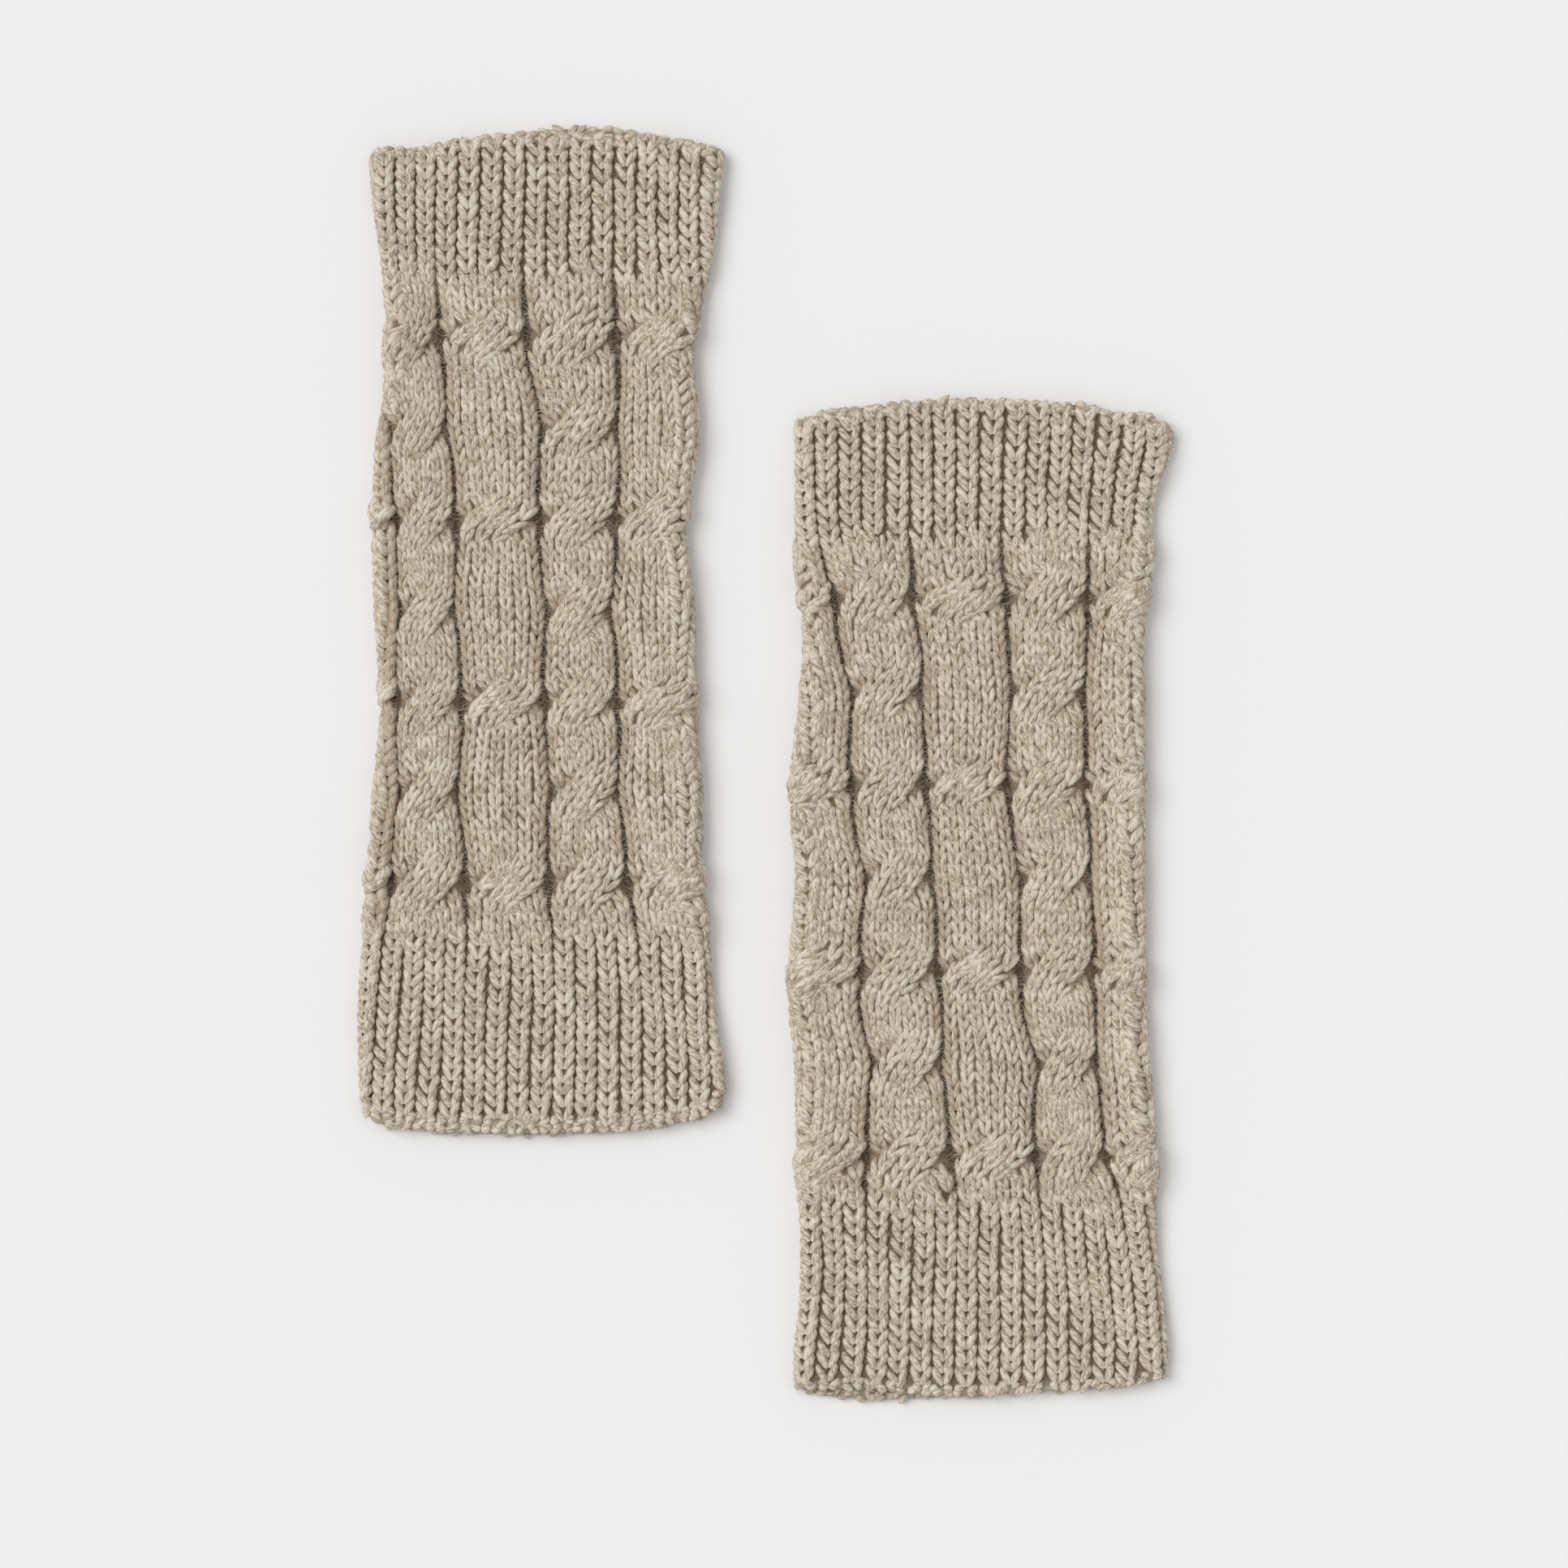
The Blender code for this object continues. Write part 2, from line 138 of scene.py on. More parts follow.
# The open ends and the loose fibres
RIM_STRIP = 2.4  # height of the cast-off row above the last stitches
HEM_ROW = 1.7  # between the rows of the cast-on edge
BUMP_POINTS = 5
BUMP_TAPER = 0.85  # how much thinner a bump's ends are
BUMP_SCATTER = 0.35
BUMP_SLANT = 1.1
BUMP_HEIGHT = 0.6 * RIB_RELIEF
BUMP_DIP = 0.8  # how far its ends dip, in radii of the yarn
RIM_BUMP = 5.4
RIM_ROWS = ((0.2, 0.0, False), (2.2, 0.2, False), (0.2, 0.0, True), (2.0, 0.0, True))  # depth, lift, behind
HEM_BUMP = 3.8
HEM_LIFT = 0.35
KNOT_TURNS = 7
KNOT_REACH = 2.4
FRINGE_STEP = 0.6  # between the loose fibres along a cable's edge
FRINGE_LENGTH = (1.6, 4.2)
FRINGE_THICKNESS = (0.07, 0.19)
FRINGE_INSET = 0.35  # how far inside the cable's edge they begin, in stitches
FRINGE_CURL = 2.0
FRINGE_FROM, FRINGE_FALL = 0.75, 0.55  # height of a root and the most it falls, as shares of the relief

# The shell of cloth under the stitches
SHELL_AROUND = 16  # columns in one repeat
SHELL_ROWS = 100
SHELL_INNER_EVERY = 9
SHELL_SLIM = 1.14  # slimmer than the stitches, so that it doesn't show beside them
NOTCH_SLIM = 1.05
SHELL_FLOOR = 0.3  # how high it stays above the table
HEM_ROUNDING = 0.4
HEM_SINK = 0.3
LUMPS = 0.35
HEM_RELIEF = 0.45 * RIB_RELIEF
EDGE_FUZZ = 2.0  # how much more fuzz there is on the folds than on the flat
GROOVE_FUZZ = 0.8
CABLE_PIT_SHADE = 0.22  # how much painted shade darkens the cloth between a cable's stitches
RIB_PIT_SHADE = 0.6  # and painted shade between the two legs of a rib's stitches
RIB_VALLEY_SHADE = {"upper": 0.24, "lower": 0.2}  # and painted shade between the ribs
GROOVE_SHADE_REACH = 2.4  # half the width of the line of painted shade along a groove
GROOVE_DROP = 2.2  # how soon the relief's fall counts as a groove

# The colours: where dark and pale fibres begin in the noise, and shares of the painted shade colour
YARN_MARL = (0.38, 0.58)
FELT_MARL = (0.38, 0.6)
PLY_SHADE = 0.1  # between the plies
DIP_SHADE = 0.4  # where the yarn dips or lies low
SIDE_SHADE = 0.15  # on its sides
YARN_BUMP, CLOTH_BUMP = 0.0003, 0.0008  # heights in metres
FUZZ_ROOTS = 0.6  # how far under the stitches' outermost line the fuzz begins

# How finely the surface of the cloth is sampled
GRID_FROM, GRID_TO, UP_STEP = -6.0, 412.0, 2.0
AROUND_STEPS = 32  # in one repeat
LOOP_POINTS = 200
OUTLINE_SMOOTHING = 5.0
LOOP_CORNERS = np.array([0, 0.4, 0.5, 0.9, 1.0])  # where the top, a fold, the back and a fold begin


def table(columns, *rows):
    """Named columns of a short table, with a row for each place along the tube or across an end."""
    return dict(zip(columns.split(), np.array(rows, float).T))


@dataclass(eq=False)
class Warmer:
    """One leg warmer. Heights called up are measured along the tube from its hem line."""

    axis_x: float
    hem_y: float
    hem_strip: float  # height of the plain strip under the last stitches
    knot: tuple  # where the yarn's end is drawn through the hem, as u and up
    leg_from: float
    leg_to: float
    first_crossing: float
    crossing_step: float  # a quick cable crosses at each step, a slow one at every second
    quick_parity: int  # quick cables are the repeats whose number has this parity
    first_groove: int  # number of the first groove that the sections place
    sections: dict
    upper_rim: dict
    lower_rim: dict


# In both tables, left and right are the outline and g0 to g4 the grooves between cables, all measured
# across the tube from its axis. A groove past the outline has gone round the fold by that much.
LEFT = Warmer(
    axis_x=-89.4,
    hem_y=-148.5,
    hem_strip=6.5,
    knot=(1.73, 7.4),
    leg_from=80.0,
    leg_to=343.0,
    first_crossing=100.1,
    crossing_step=36.3,
    quick_parity=0,
    first_groove=0,
    sections=table(
        "up left right g0 g1 g2 g3 g4",
        (0.0, -71.0, 71.5, -68.5, -33.0, 4.0, 40.5, 77.0),
        (17.0, -72.5, 74.3, -67.5, -32.0, 4.6, 40.6, 77.0),
        (54.0, -72.8, 68.3, -65.3, -30.3, 5.5, 40.0, 75.4),
        (81.0, -70.9, 66.8, -63.1, -29.4, 5.0, 38.5, 73.0),
        (99.0, -68.6, 63.4, -60.8, -29.6, 2.6, 34.8, 67.6),
        (136.0, -66.0, 63.3, -58.2, -33.0, 2.9, 31.5, 67.2),
        (168.0, -62.7, 61.4, -58.2, -31.2, 1.3, 30.9, 63.7),
        (209.0, -65.2, 60.5, -57.9, -34.1, 1.3, 28.9, 64.4),
        (243.0, -66.3, 56.2, -58.5, -33.8, -1.3, 30.2, 61.1),
        (278.0, -65.0, 62.6, -61.0, -36.6, -0.3, 31.5, 66.0),
        (314.0, -61.0, 59.4, -66.3, -39.3, -5.9, 30.6, 63.0),
        (330.0, -60.2, 63.6, -69.0, -41.5, -6.8, 29.6, 64.4),
        (347.0, -63.7, 67.9, -72.2, -42.9, -7.2, 28.9, 64.2),
        (372.0, -67.6, 70.5, -74.8, -42.3, -6.5, 28.9, 63.7),
        (398.0, -69.2, 73.4, -75.4, -41.6, -5.9, 29.3, 65.0),
    ),
    upper_rim=table(
        "across front back",
        (-1.0, 392.4, 392.4),
        (-0.85, 395.4, 394.6),
        (-0.7, 393.8, 395.0),
        (-0.52, 397.9, 397.0),
        (-0.25, 399.8, 399.6),
        (0.05, 399.6, 403.2),
        (0.35, 399.8, 403.0),
        (0.6, 399.3, 399.6),
        (0.85, 396.8, 396.2),
        (1.0, 393.2, 393.2),
    ),
    lower_rim=table(
        "across front back",
        (-1.0, 8.5, 8.5),
        (-0.86, 3.2, 2.6),
        (-0.5, 0.9, 0.1),
        (0.0, 0.5, -0.5),
        (0.35, 1.0, 0.2),
        (0.62, 2.9, 2.3),
        (0.86, 6.4, 6.2),
        (1.0, 11.0, 11.0),
    ),
)

RIGHT = Warmer(
    axis_x=82.9,
    hem_y=-253.8,
    hem_strip=4.5,
    knot=(2.4, 3.2),
    leg_from=79.0,
    leg_to=343.0,
    first_crossing=96.6,
    crossing_step=37.1,
    quick_parity=1,
    first_groove=1,
    sections=table(
        "up left right g1 g2 g3 g4",
        (0.0, -70.8, 76.6, -44.2, -7.8, 29.3, 66.3),
        (15.0, -71.8, 78.3, -43.4, -7.2, 29.3, 65.9),
        (33.0, -69.6, 76.7, -42.3, -6.8, 29.3, 65.3),
        (54.0, -68.9, 73.8, -41.6, -6.5, 28.6, 63.1),
        (79.0, -68.9, 72.5, -42.6, -5.2, 27.3, 59.2),
        (97.0, -68.3, 71.5, -43.2, -8.8, 24.1, 53.0),
        (134.0, -69.2, 68.6, -41.0, -11.7, 25.4, 49.7),
        (160.0, -72.0, 66.6, -46.0, -13.0, 19.0, 48.8),
        (209.0, -68.9, 66.6, -43.6, -15.6, 18.5, 47.5),
        (246.0, -71.2, 66.3, -49.7, -18.5, 13.0, 45.2),
        (281.0, -67.0, 67.0, -48.8, -19.8, 14.6, 44.9),
        (300.0, -65.7, 66.0, -53.3, -21.1, 14.3, 45.5),
        (318.0, -67.0, 68.0, -55.3, -23.1, 13.0, 46.5),
        (342.0, -71.2, 71.4, -62.4, -25.0, 11.4, 46.5),
        (359.0, -70.9, 71.0, -63.1, -25.0, 11.7, 47.1),
        (379.0, -69.9, 80.3, -63.4, -25.0, 12.4, 49.1),
        (398.0, -72.2, 79.0, -63.4, -25.4, 12.7, 50.1),
    ),
    upper_rim=table(
        "across front back",
        (-1.0, 390.8, 390.8),
        (-0.85, 393.2, 394.8),
        (-0.68, 394.4, 397.0),
        (-0.45, 398.2, 397.4),
        (-0.1, 399.6, 398.6),
        (0.3, 398.4, 397.6),
        (0.52, 397.9, 397.0),
        (0.68, 394.2, 394.6),
        (0.86, 394.0, 392.6),
        (1.0, 388.4, 388.4),
    ),
    lower_rim=table(
        "across front back",
        (-1.0, 3.4, 3.4),
        (-0.84, 4.0, 0.4),
        (-0.6, 3.6, -1.2),
        (-0.35, 1.9, -0.6),
        (0.0, 1.2, 0.4),
        (0.4, 2.9, 2.4),
        (0.75, 4.2, 3.6),
        (1.0, 9.0, 9.0),
    ),
)
WARMERS = {"left": LEFT, "right": RIGHT}


# The cloth as a surface


def slit(warmer, across, up):
    """How high the hollow is at a place across the tube, from -1 to 1, and at a height."""
    top = warmer.upper_rim["front"].max()
    from_mouth = np.clip(min(up, top - up) / MOUTH_DEPTH, 0, 1)
    at_mouth = (1 - from_mouth) ** 2 * (1 - np.abs(across) ** 3)
    beside_fold = np.abs(across) ** 8
    return SLIT_MIDDLE + (SLIT_MOUTH - SLIT_MIDDLE) * at_mouth + (SLIT_FOLD - SLIT_MIDDLE) * beside_fold


def flat_loop(turn, half, low, high_at):
    """Points of a pressed-flat loop: over the top, down the right fold, back below, up the left fold."""
    fold = high_at(1.0) / 2 - low / 2
    stretch = np.clip(np.searchsorted(LOOP_CORNERS, turn, side="right") - 1, 0, 3)
    share = (turn - LOOP_CORNERS[stretch]) / (LOOP_CORNERS[stretch + 1] - LOOP_CORNERS[stretch])
    flat = half - fold
    on_top, right_fold, below = stretch == 0, stretch == 1, stretch == 2
    angle = np.pi * share
    across = np.where(below, 1 - 2 * share, 2 * share - 1)
    x = np.where(right_fold, flat + fold * np.sin(angle), -flat - fold * np.sin(angle))
    x = np.where(on_top | below, across * flat, x)
    z = low + fold * np.where(right_fold, 1 + np.cos(angle), 1 - np.cos(angle))
    z = np.where(on_top, high_at(across), z)
    return x, np.where(below, low, z)


def smoothed(values, sigma):
    """Values on an even grid, smoothed with a bell of that width in steps."""
    reach = int(3 * sigma) + 1
    bell = np.exp(-0.5 * (np.arange(-reach, reach + 1) / sigma) ** 2)
    padded = np.pad(values, reach, mode="reflect", reflect_type="odd")
    return np.convolve(padded, bell / bell.sum(), mode="valid")


class Cloth:
    """The surface of one leg warmer without its relief, sampled on an even grid.

    A place is u, the number of a repeat and the share of it, and up, the height along the tube.
    """

    def __init__(self, warmer):
        self.warmer = warmer
        self.ups = np.arange(GRID_FROM, GRID_TO, UP_STEP)
        columns = dict(warmer.sections)
        heights, sigma = columns.pop("up"), OUTLINE_SMOOTHING / UP_STEP
        read = {
            name: smoothed(np.interp(self.ups, heights, column), sigma) for name, column in columns.items()
        }
        self.half = (read["right"] - read["left"]) / 2
        self.middle = (read["right"] + read["left"]) / 2
        grooves = np.array([read[name] for name in read if name.startswith("g")])
        rows = [self.sampled_loop(row, up, grooves[:, row]) for row, up in enumerate(self.ups)]
        self.grid = {name: np.array([row[name] for row in rows]) for name in rows[0]}

    def sampled_loop(self, row, up, placed):
        """The outer and inner loop at one height, at even steps of u, with the outward normal."""
        half, middle = self.half[row], self.middle[row]
        turn = np.linspace(0, 1, LOOP_POINTS + 1)

        def roof(across):
            return BACK_WALL + slit(self.warmer, across, up)

        x, z = flat_loop(turn, half - SIDE_BULGE, 0.0, lambda across: roof(across) + FRONT_WALL)
        inner_x, inner_z = flat_loop(turn, half - SIDE_BULGE - FRONT_WALL, BACK_WALL, roof)
        so_far = np.concatenate([[0], np.cumsum(np.hypot(np.diff(x), np.diff(z)))])
        around = so_far[-1]
        start = np.interp(-middle, x[: LOOP_POINTS // 3], so_far[: LOOP_POINTS // 3])
        pitch = (around - (placed[-1] - placed[0])) / (REPEATS - len(placed) + 1)
        behind = placed[-1] + pitch * np.arange(1, REPEATS - len(placed) + 2)
        u = np.arange(REPEATS * AROUND_STEPS) / AROUND_STEPS
        length = np.interp(u, np.arange(REPEATS + 1), np.concatenate([placed, behind]))
        at = (length + start) % around
        normal_x, normal_z = -np.gradient(z, so_far), np.gradient(x, so_far)
        return {
            "x": np.interp(at, so_far, x) + middle,
            "z": np.interp(at, so_far, z),
            "normal_x": np.interp(at, so_far, normal_x),
            "normal_z": np.interp(at, so_far, normal_z),
            "inner_x": np.interp(at, so_far, inner_x) + middle,
            "inner_z": np.interp(at, so_far, inner_z),
            "width": np.interp(u, np.arange(REPEATS), np.diff(np.concatenate([placed, behind]))),
        }

    def read(self, name, u, up):
        """One of the grid's values, between its samples."""
        row = np.clip((up - GRID_FROM) / UP_STEP, 0, len(self.ups) - 1.001)
        low_row, part = row.astype(int), row % 1
        column = ((u - self.warmer.first_groove) % REPEATS) * AROUND_STEPS
        first, share = column.astype(int) % (REPEATS * AROUND_STEPS), column % 1
        after = (first + 1) % (REPEATS * AROUND_STEPS)
        grid = self.grid[name]
        below = grid[low_row, first] * (1 - share) + grid[low_row, after] * share
        above = grid[low_row + 1, first] * (1 - share) + grid[low_row + 1, after] * share
        return below * (1 - part) + above * part

    def facing(self, u, up):
        """1 where the cloth faces up, falling to 0 on the table, where its relief is pressed flat."""
        return np.clip((self.read("normal_z", u, up) + 0.9) / 1.9, 0, 1)

    def outwards(self, u, up):
        """Unit vectors away from the cloth."""
        return np.stack([self.read("normal_x", u, up), 0 * up, self.read("normal_z", u, up)], axis=-1)

    def place(self, u, up, out):
        """Points that stand out from the surface by so much, in the pair's own axes."""
        x = self.read("x", u, up) + out * self.read("normal_x", u, up)
        z = self.read("z", u, up) + out * self.read("normal_z", u, up)
        return np.stack([x + self.warmer.axis_x, up + self.warmer.hem_y, z], axis=-1)

    def swelling(self, u, up, out):
        """How much further apart places lie when they stand out by so much, as they do round a fold."""
        after, before = u + FOLD_STEP, u - FOLD_STEP
        raised = self.place(after, up, out) - self.place(before, up, out)
        plain = self.place(after, up, 0 * out) - self.place(before, up, 0 * out)
        return np.linalg.norm(raised, axis=-1) / np.linalg.norm(plain, axis=-1)

    def inside(self, u, up):
        """Points of the plain inner face."""
        x = self.read("inner_x", u, up)
        z = self.read("inner_z", u, up)
        return np.stack([x + self.warmer.axis_x, up + self.warmer.hem_y, z], axis=-1)

    def stitch_width(self, repeat, up):
        """The width of one stitch in a cable."""
        return self.read("width", repeat + 0.5, up) * (1 - 2 * GROOVE_SHARE) / CABLE_STITCHES

    def rim(self, end, u):
        """How high an open end lies at a place round the tube."""
        rim = self.warmer.upper_rim if end == "upper" else self.warmer.lower_rim
        nominal = rim["front"].mean()
        row = int((nominal - GRID_FROM) / UP_STEP)
        level = np.full_like(u, nominal)
        across = np.clip((self.read("x", u, level) - self.middle[row]) / self.half[row], -1, 1)
        top = BACK_WALL + slit(self.warmer, across, nominal) + FRONT_WALL
        frontness = np.clip(self.read("z", u, level) / top, 0, 1)
        front, back = (np.interp(across, rim["across"], rim[layer]) for layer in ("front", "back"))
        return back + (front - back) * frontness


# The relief of the pattern


@dataclass
class Crossing:
    """Where places lie in the nearest crossing of their cable."""

    along: np.ndarray  # from -1 at its foot to 1 at its head
    swing: np.ndarray  # how far its strands have moved over, from 0 to 1
    spread: np.ndarray  # how much wider across a slanting strand is than an upright one
    lift: np.ndarray  # 1 in its middle, 0 at both its ends
    waist: np.ndarray  # the cable's width here, as a share of its whole width


def crossing(warmer, repeat, up, stitch_width):
    """The crossing of a repeat's cable at a height."""
    quick = np.mod(repeat, 2) == warmer.quick_parity
    step = np.where(quick, 1, 2) * warmer.crossing_step
    reach = np.where(quick, QUICK_REACH, SLOW_REACH)
    past = (up - warmer.first_crossing) / step
    along = np.clip((past - np.round(past)) * step / reach, -1, 1)
    part = (along + 1) / 2
    slope = GROUP * stitch_width * 3 * part * (1 - part) / reach
    lift = (1 - along**2) ** LIFT_POWER
    distance = (past - np.round(past)) * step
    past_any = (up - warmer.first_crossing) / warmer.crossing_step
    from_any = (past_any - np.round(past_any)) * warmer.crossing_step
    give = GIVE * (np.exp(-((from_any / GIVE_REACH) ** 2)) - np.exp(-((distance / GIVE_REACH) ** 2)))
    return Crossing(
        along,
        part**2 * (3 - 2 * part),
        np.sqrt(1 + slope**2) * (1 + NECK_SPREAD * lift),
        lift,
        1 - WAIST * np.exp(-((distance / WAIST_REACH) ** 2)) + give,
    )


def group_middle(cross, front):
    """The place across a cable, in stitches, of the middle of the strand in front or behind."""
    return np.where(front, 1.5 + GROUP * cross.swing, 4.5 - GROUP * cross.swing)


def dome(offset, inner, outer):
    """Height of a round back, 1 in its middle and 0 from -1 and 1 outwards."""
    return np.clip(1 - np.abs(offset) ** inner, 0, 1) ** outer


def cable_dome(place, slim=1.0):
    """Relief of a whole cable, as a share, at a place across its stitches."""
    return dome(slim * (place - GROUP) / CABLE_HALF, *CABLE_BACK)


def cable_height(place, cross, front, slim=1.0):
    """Relief of a cable's strand in front or behind, as a share, at a place across its stitches."""
    offset = slim * (place - group_middle(cross, front)) / (STRAND_HALF * cross.spread)
    from_front = np.abs(place - group_middle(cross, True)) / cross.spread
    untucked = np.clip((from_front - GROUP / 2) / TUCK_WIDTH, 0, 1)
    rise = np.where(front, FRONT_RISE, TUCKED_RISE + (1 - TUCKED_RISE) * untucked)
    return (1 - cross.lift) * cable_dome(place, slim) + cross.lift * dome(offset, *STRAND_BACK) * rise


def rib_height(share):
    """Relief of the ribs, as a share, across one repeat."""
    return dome(2 * ((share * RIBS_PER_REPEAT) % 1.0) - 1, 2, 0.5)


def leg_ends(warmer, u):
    """The heights at which the cables begin and end at a place round the tube."""
    wander = EDGE_WANDER * unevenness(EDGE_SEED, 3 * u, 0.0)
    arch = ARCH * (2 * (u - np.floor(u)) - 1) ** 2
    return warmer.leg_from + wander + arch, warmer.leg_to + wander - arch


def in_leg(warmer, u, up):
    """1 between the two cuffs and 0 in them."""
    low, high = leg_ends(warmer, u)
    from_end = np.minimum(up - low, high - up) + LEG_LEAD
    return np.clip(from_end / LEG_BLEND, 0, 1)


def cloth_relief(cloth, u, up):
    """Relief in millimetres of ribs or cables, blended where they meet."""
    warmer = cloth.warmer
    repeat = np.floor(u)
    cross = crossing(warmer, repeat, up, cloth.stitch_width(repeat, up))
    place = GROUP + (u - repeat - 0.5) / (1 - 2 * GROOVE_SHARE) * CABLE_STITCHES / cross.waist
    strands = [cable_height(place, cross, front, SHELL_SLIM) for front in (True, False)]
    notch = NOTCH_FILL * cross.lift * cable_dome(place, NOTCH_SLIM)
    cable = np.maximum(np.maximum(*strands), notch) * CABLE_RELIEF
    rib = rib_height(u - repeat) * RIB_RELIEF
    return rib + (cable - rib) * in_leg(warmer, u, up)


# Strands of yarn


@dataclass
class Yarn:
    """The yarn's radius, and how far its outermost line stands out of the solid's surface."""

    radius: float
    stand_out: float


@dataclass
class Strands:
    """Lengths of yarn with the same number of points each."""

    points: np.ndarray  # strand, point, xyz
    radius: np.ndarray  # strand, point
    depth: np.ndarray  # strand, point: painted shade, 0 on top, 1 where the yarn dips into the cloth, more where its cable lies low
    outwards: np.ndarray  # strand, point, xyz: away from the cloth
    shade: np.ndarray  # strand: a random value of its own


def unevenness(seed, u, up, waves=6):
    """A smooth random wander between about -1 and 1 over the cloth."""
    dice = np.random.default_rng(seed)
    total = np.zeros(np.broadcast(u, up).shape)
    for _ in range(waves):
        turns, rate, phase = dice.integers(1, 9), dice.uniform(0.02, 0.2), dice.uniform(0, 2 * np.pi)
        total = total + np.sin(2 * np.pi * turns * u / REPEATS + rate * up + phase)
    return total / waves**0.5 / 1.2


def stray(dice, u, up, sizes):
    """How far many stitches are off: a smooth wander over the cloth and a scatter of their own."""
    seed, wander, scatter = sizes
    return wander * unevenness(seed, u, up) + dice.normal(0, scatter, len(up))


# Half a stitch seen from its own column: across it as a share of its width, along it in rows, and its
# lift and thickness as shares of the yarn's radius.
CABLE_LEG = table(
    "across along lift thick",
    (0.06, -0.66, -0.60, 0.66),
    (0.15, -0.28, 0.16, 0.94),
    (0.26, 0.12, 0.24, 0.96),
    (0.345, 0.52, -0.10, 0.90),
    (0.37, 0.92, -1.15, 0.45),
)
RIB_LEG = table(
    "across along lift thick",
    (0.06, -0.62, -0.45, 0.78),
    (0.15, -0.26, 0.16, 0.99),
    (0.255, 0.12, 0.26, 1.02),
    (0.34, 0.48, -0.08, 0.94),
    (0.355, 0.84, -1.15, 0.45),
)
UNDERSIDE_LEG = table(
    "across along lift thick",
    (0.06, -0.75, -0.9, 0.65),
    (0.18, -0.20, 0.1, 1.08),
    (0.31, 0.35, 0.1, 1.05),
    (0.26, 0.80, -1.0, 0.40),
)


def split_by_facing(cloth, u, up):
    """Which stitches are made finely because they face up or sideways."""
    return cloth.read("normal_z", u, up) > -FACES_UP


def stitch_legs(shape, width, row, lean, stretch, radius):
    """Offsets across and up in millimetres of both legs of many stitches, their lift and thickness."""
    side = np.array([-1, 1])[None, :, None]
    across = side * shape["across"] * width[:, None, None]
    along = shape["along"] * (row * stretch)[:, None, None] * np.ones_like(side)
    lean = lean[:, None, None]
    d_across = across * np.cos(lean) + along * np.sin(lean)
    d_up = along * np.cos(lean) - across * np.sin(lean)
    lift = shape["lift"] * np.ones_like(across)
    thick = shape["thick"] * radius[:, None, None] * np.ones_like(across)
    return d_across, d_up, lift, thick


def on_cloth(cloth, yarn, dice, u, up, height, lift, thick, painted_low_shade=0.0):
    """Strands laid over the relief. The arrays have a stitch, a strand of it and a point."""
    facing = cloth.facing(u, up)
    kept_lift = UNDERSIDE_LIFT + (1 - UNDERSIDE_LIFT) * facing
    out = lift * yarn.radius * kept_lift + yarn.stand_out - yarn.radius
    count = u.shape[0] * u.shape[1]
    return Strands(
        cloth.place(u, up, height * facing + out).reshape(count, -1, 3),
        thick.reshape(count, -1),
        # painted shade where the yarn dips into the cloth, plus that of a low-lying cable
        (np.clip(-lift, 0, 1) + painted_low_shade).reshape(count, -1),
        cloth.outwards(u, up).reshape(count, -1, 3),
        np.repeat(dice.uniform(0, 1, len(u)), u.shape[1]),
    )


def flat_grid(*axes):
    """Every combination of some values, as one flat array for each axis."""
    return (part.ravel() for part in np.meshgrid(*axes, indexing="ij"))


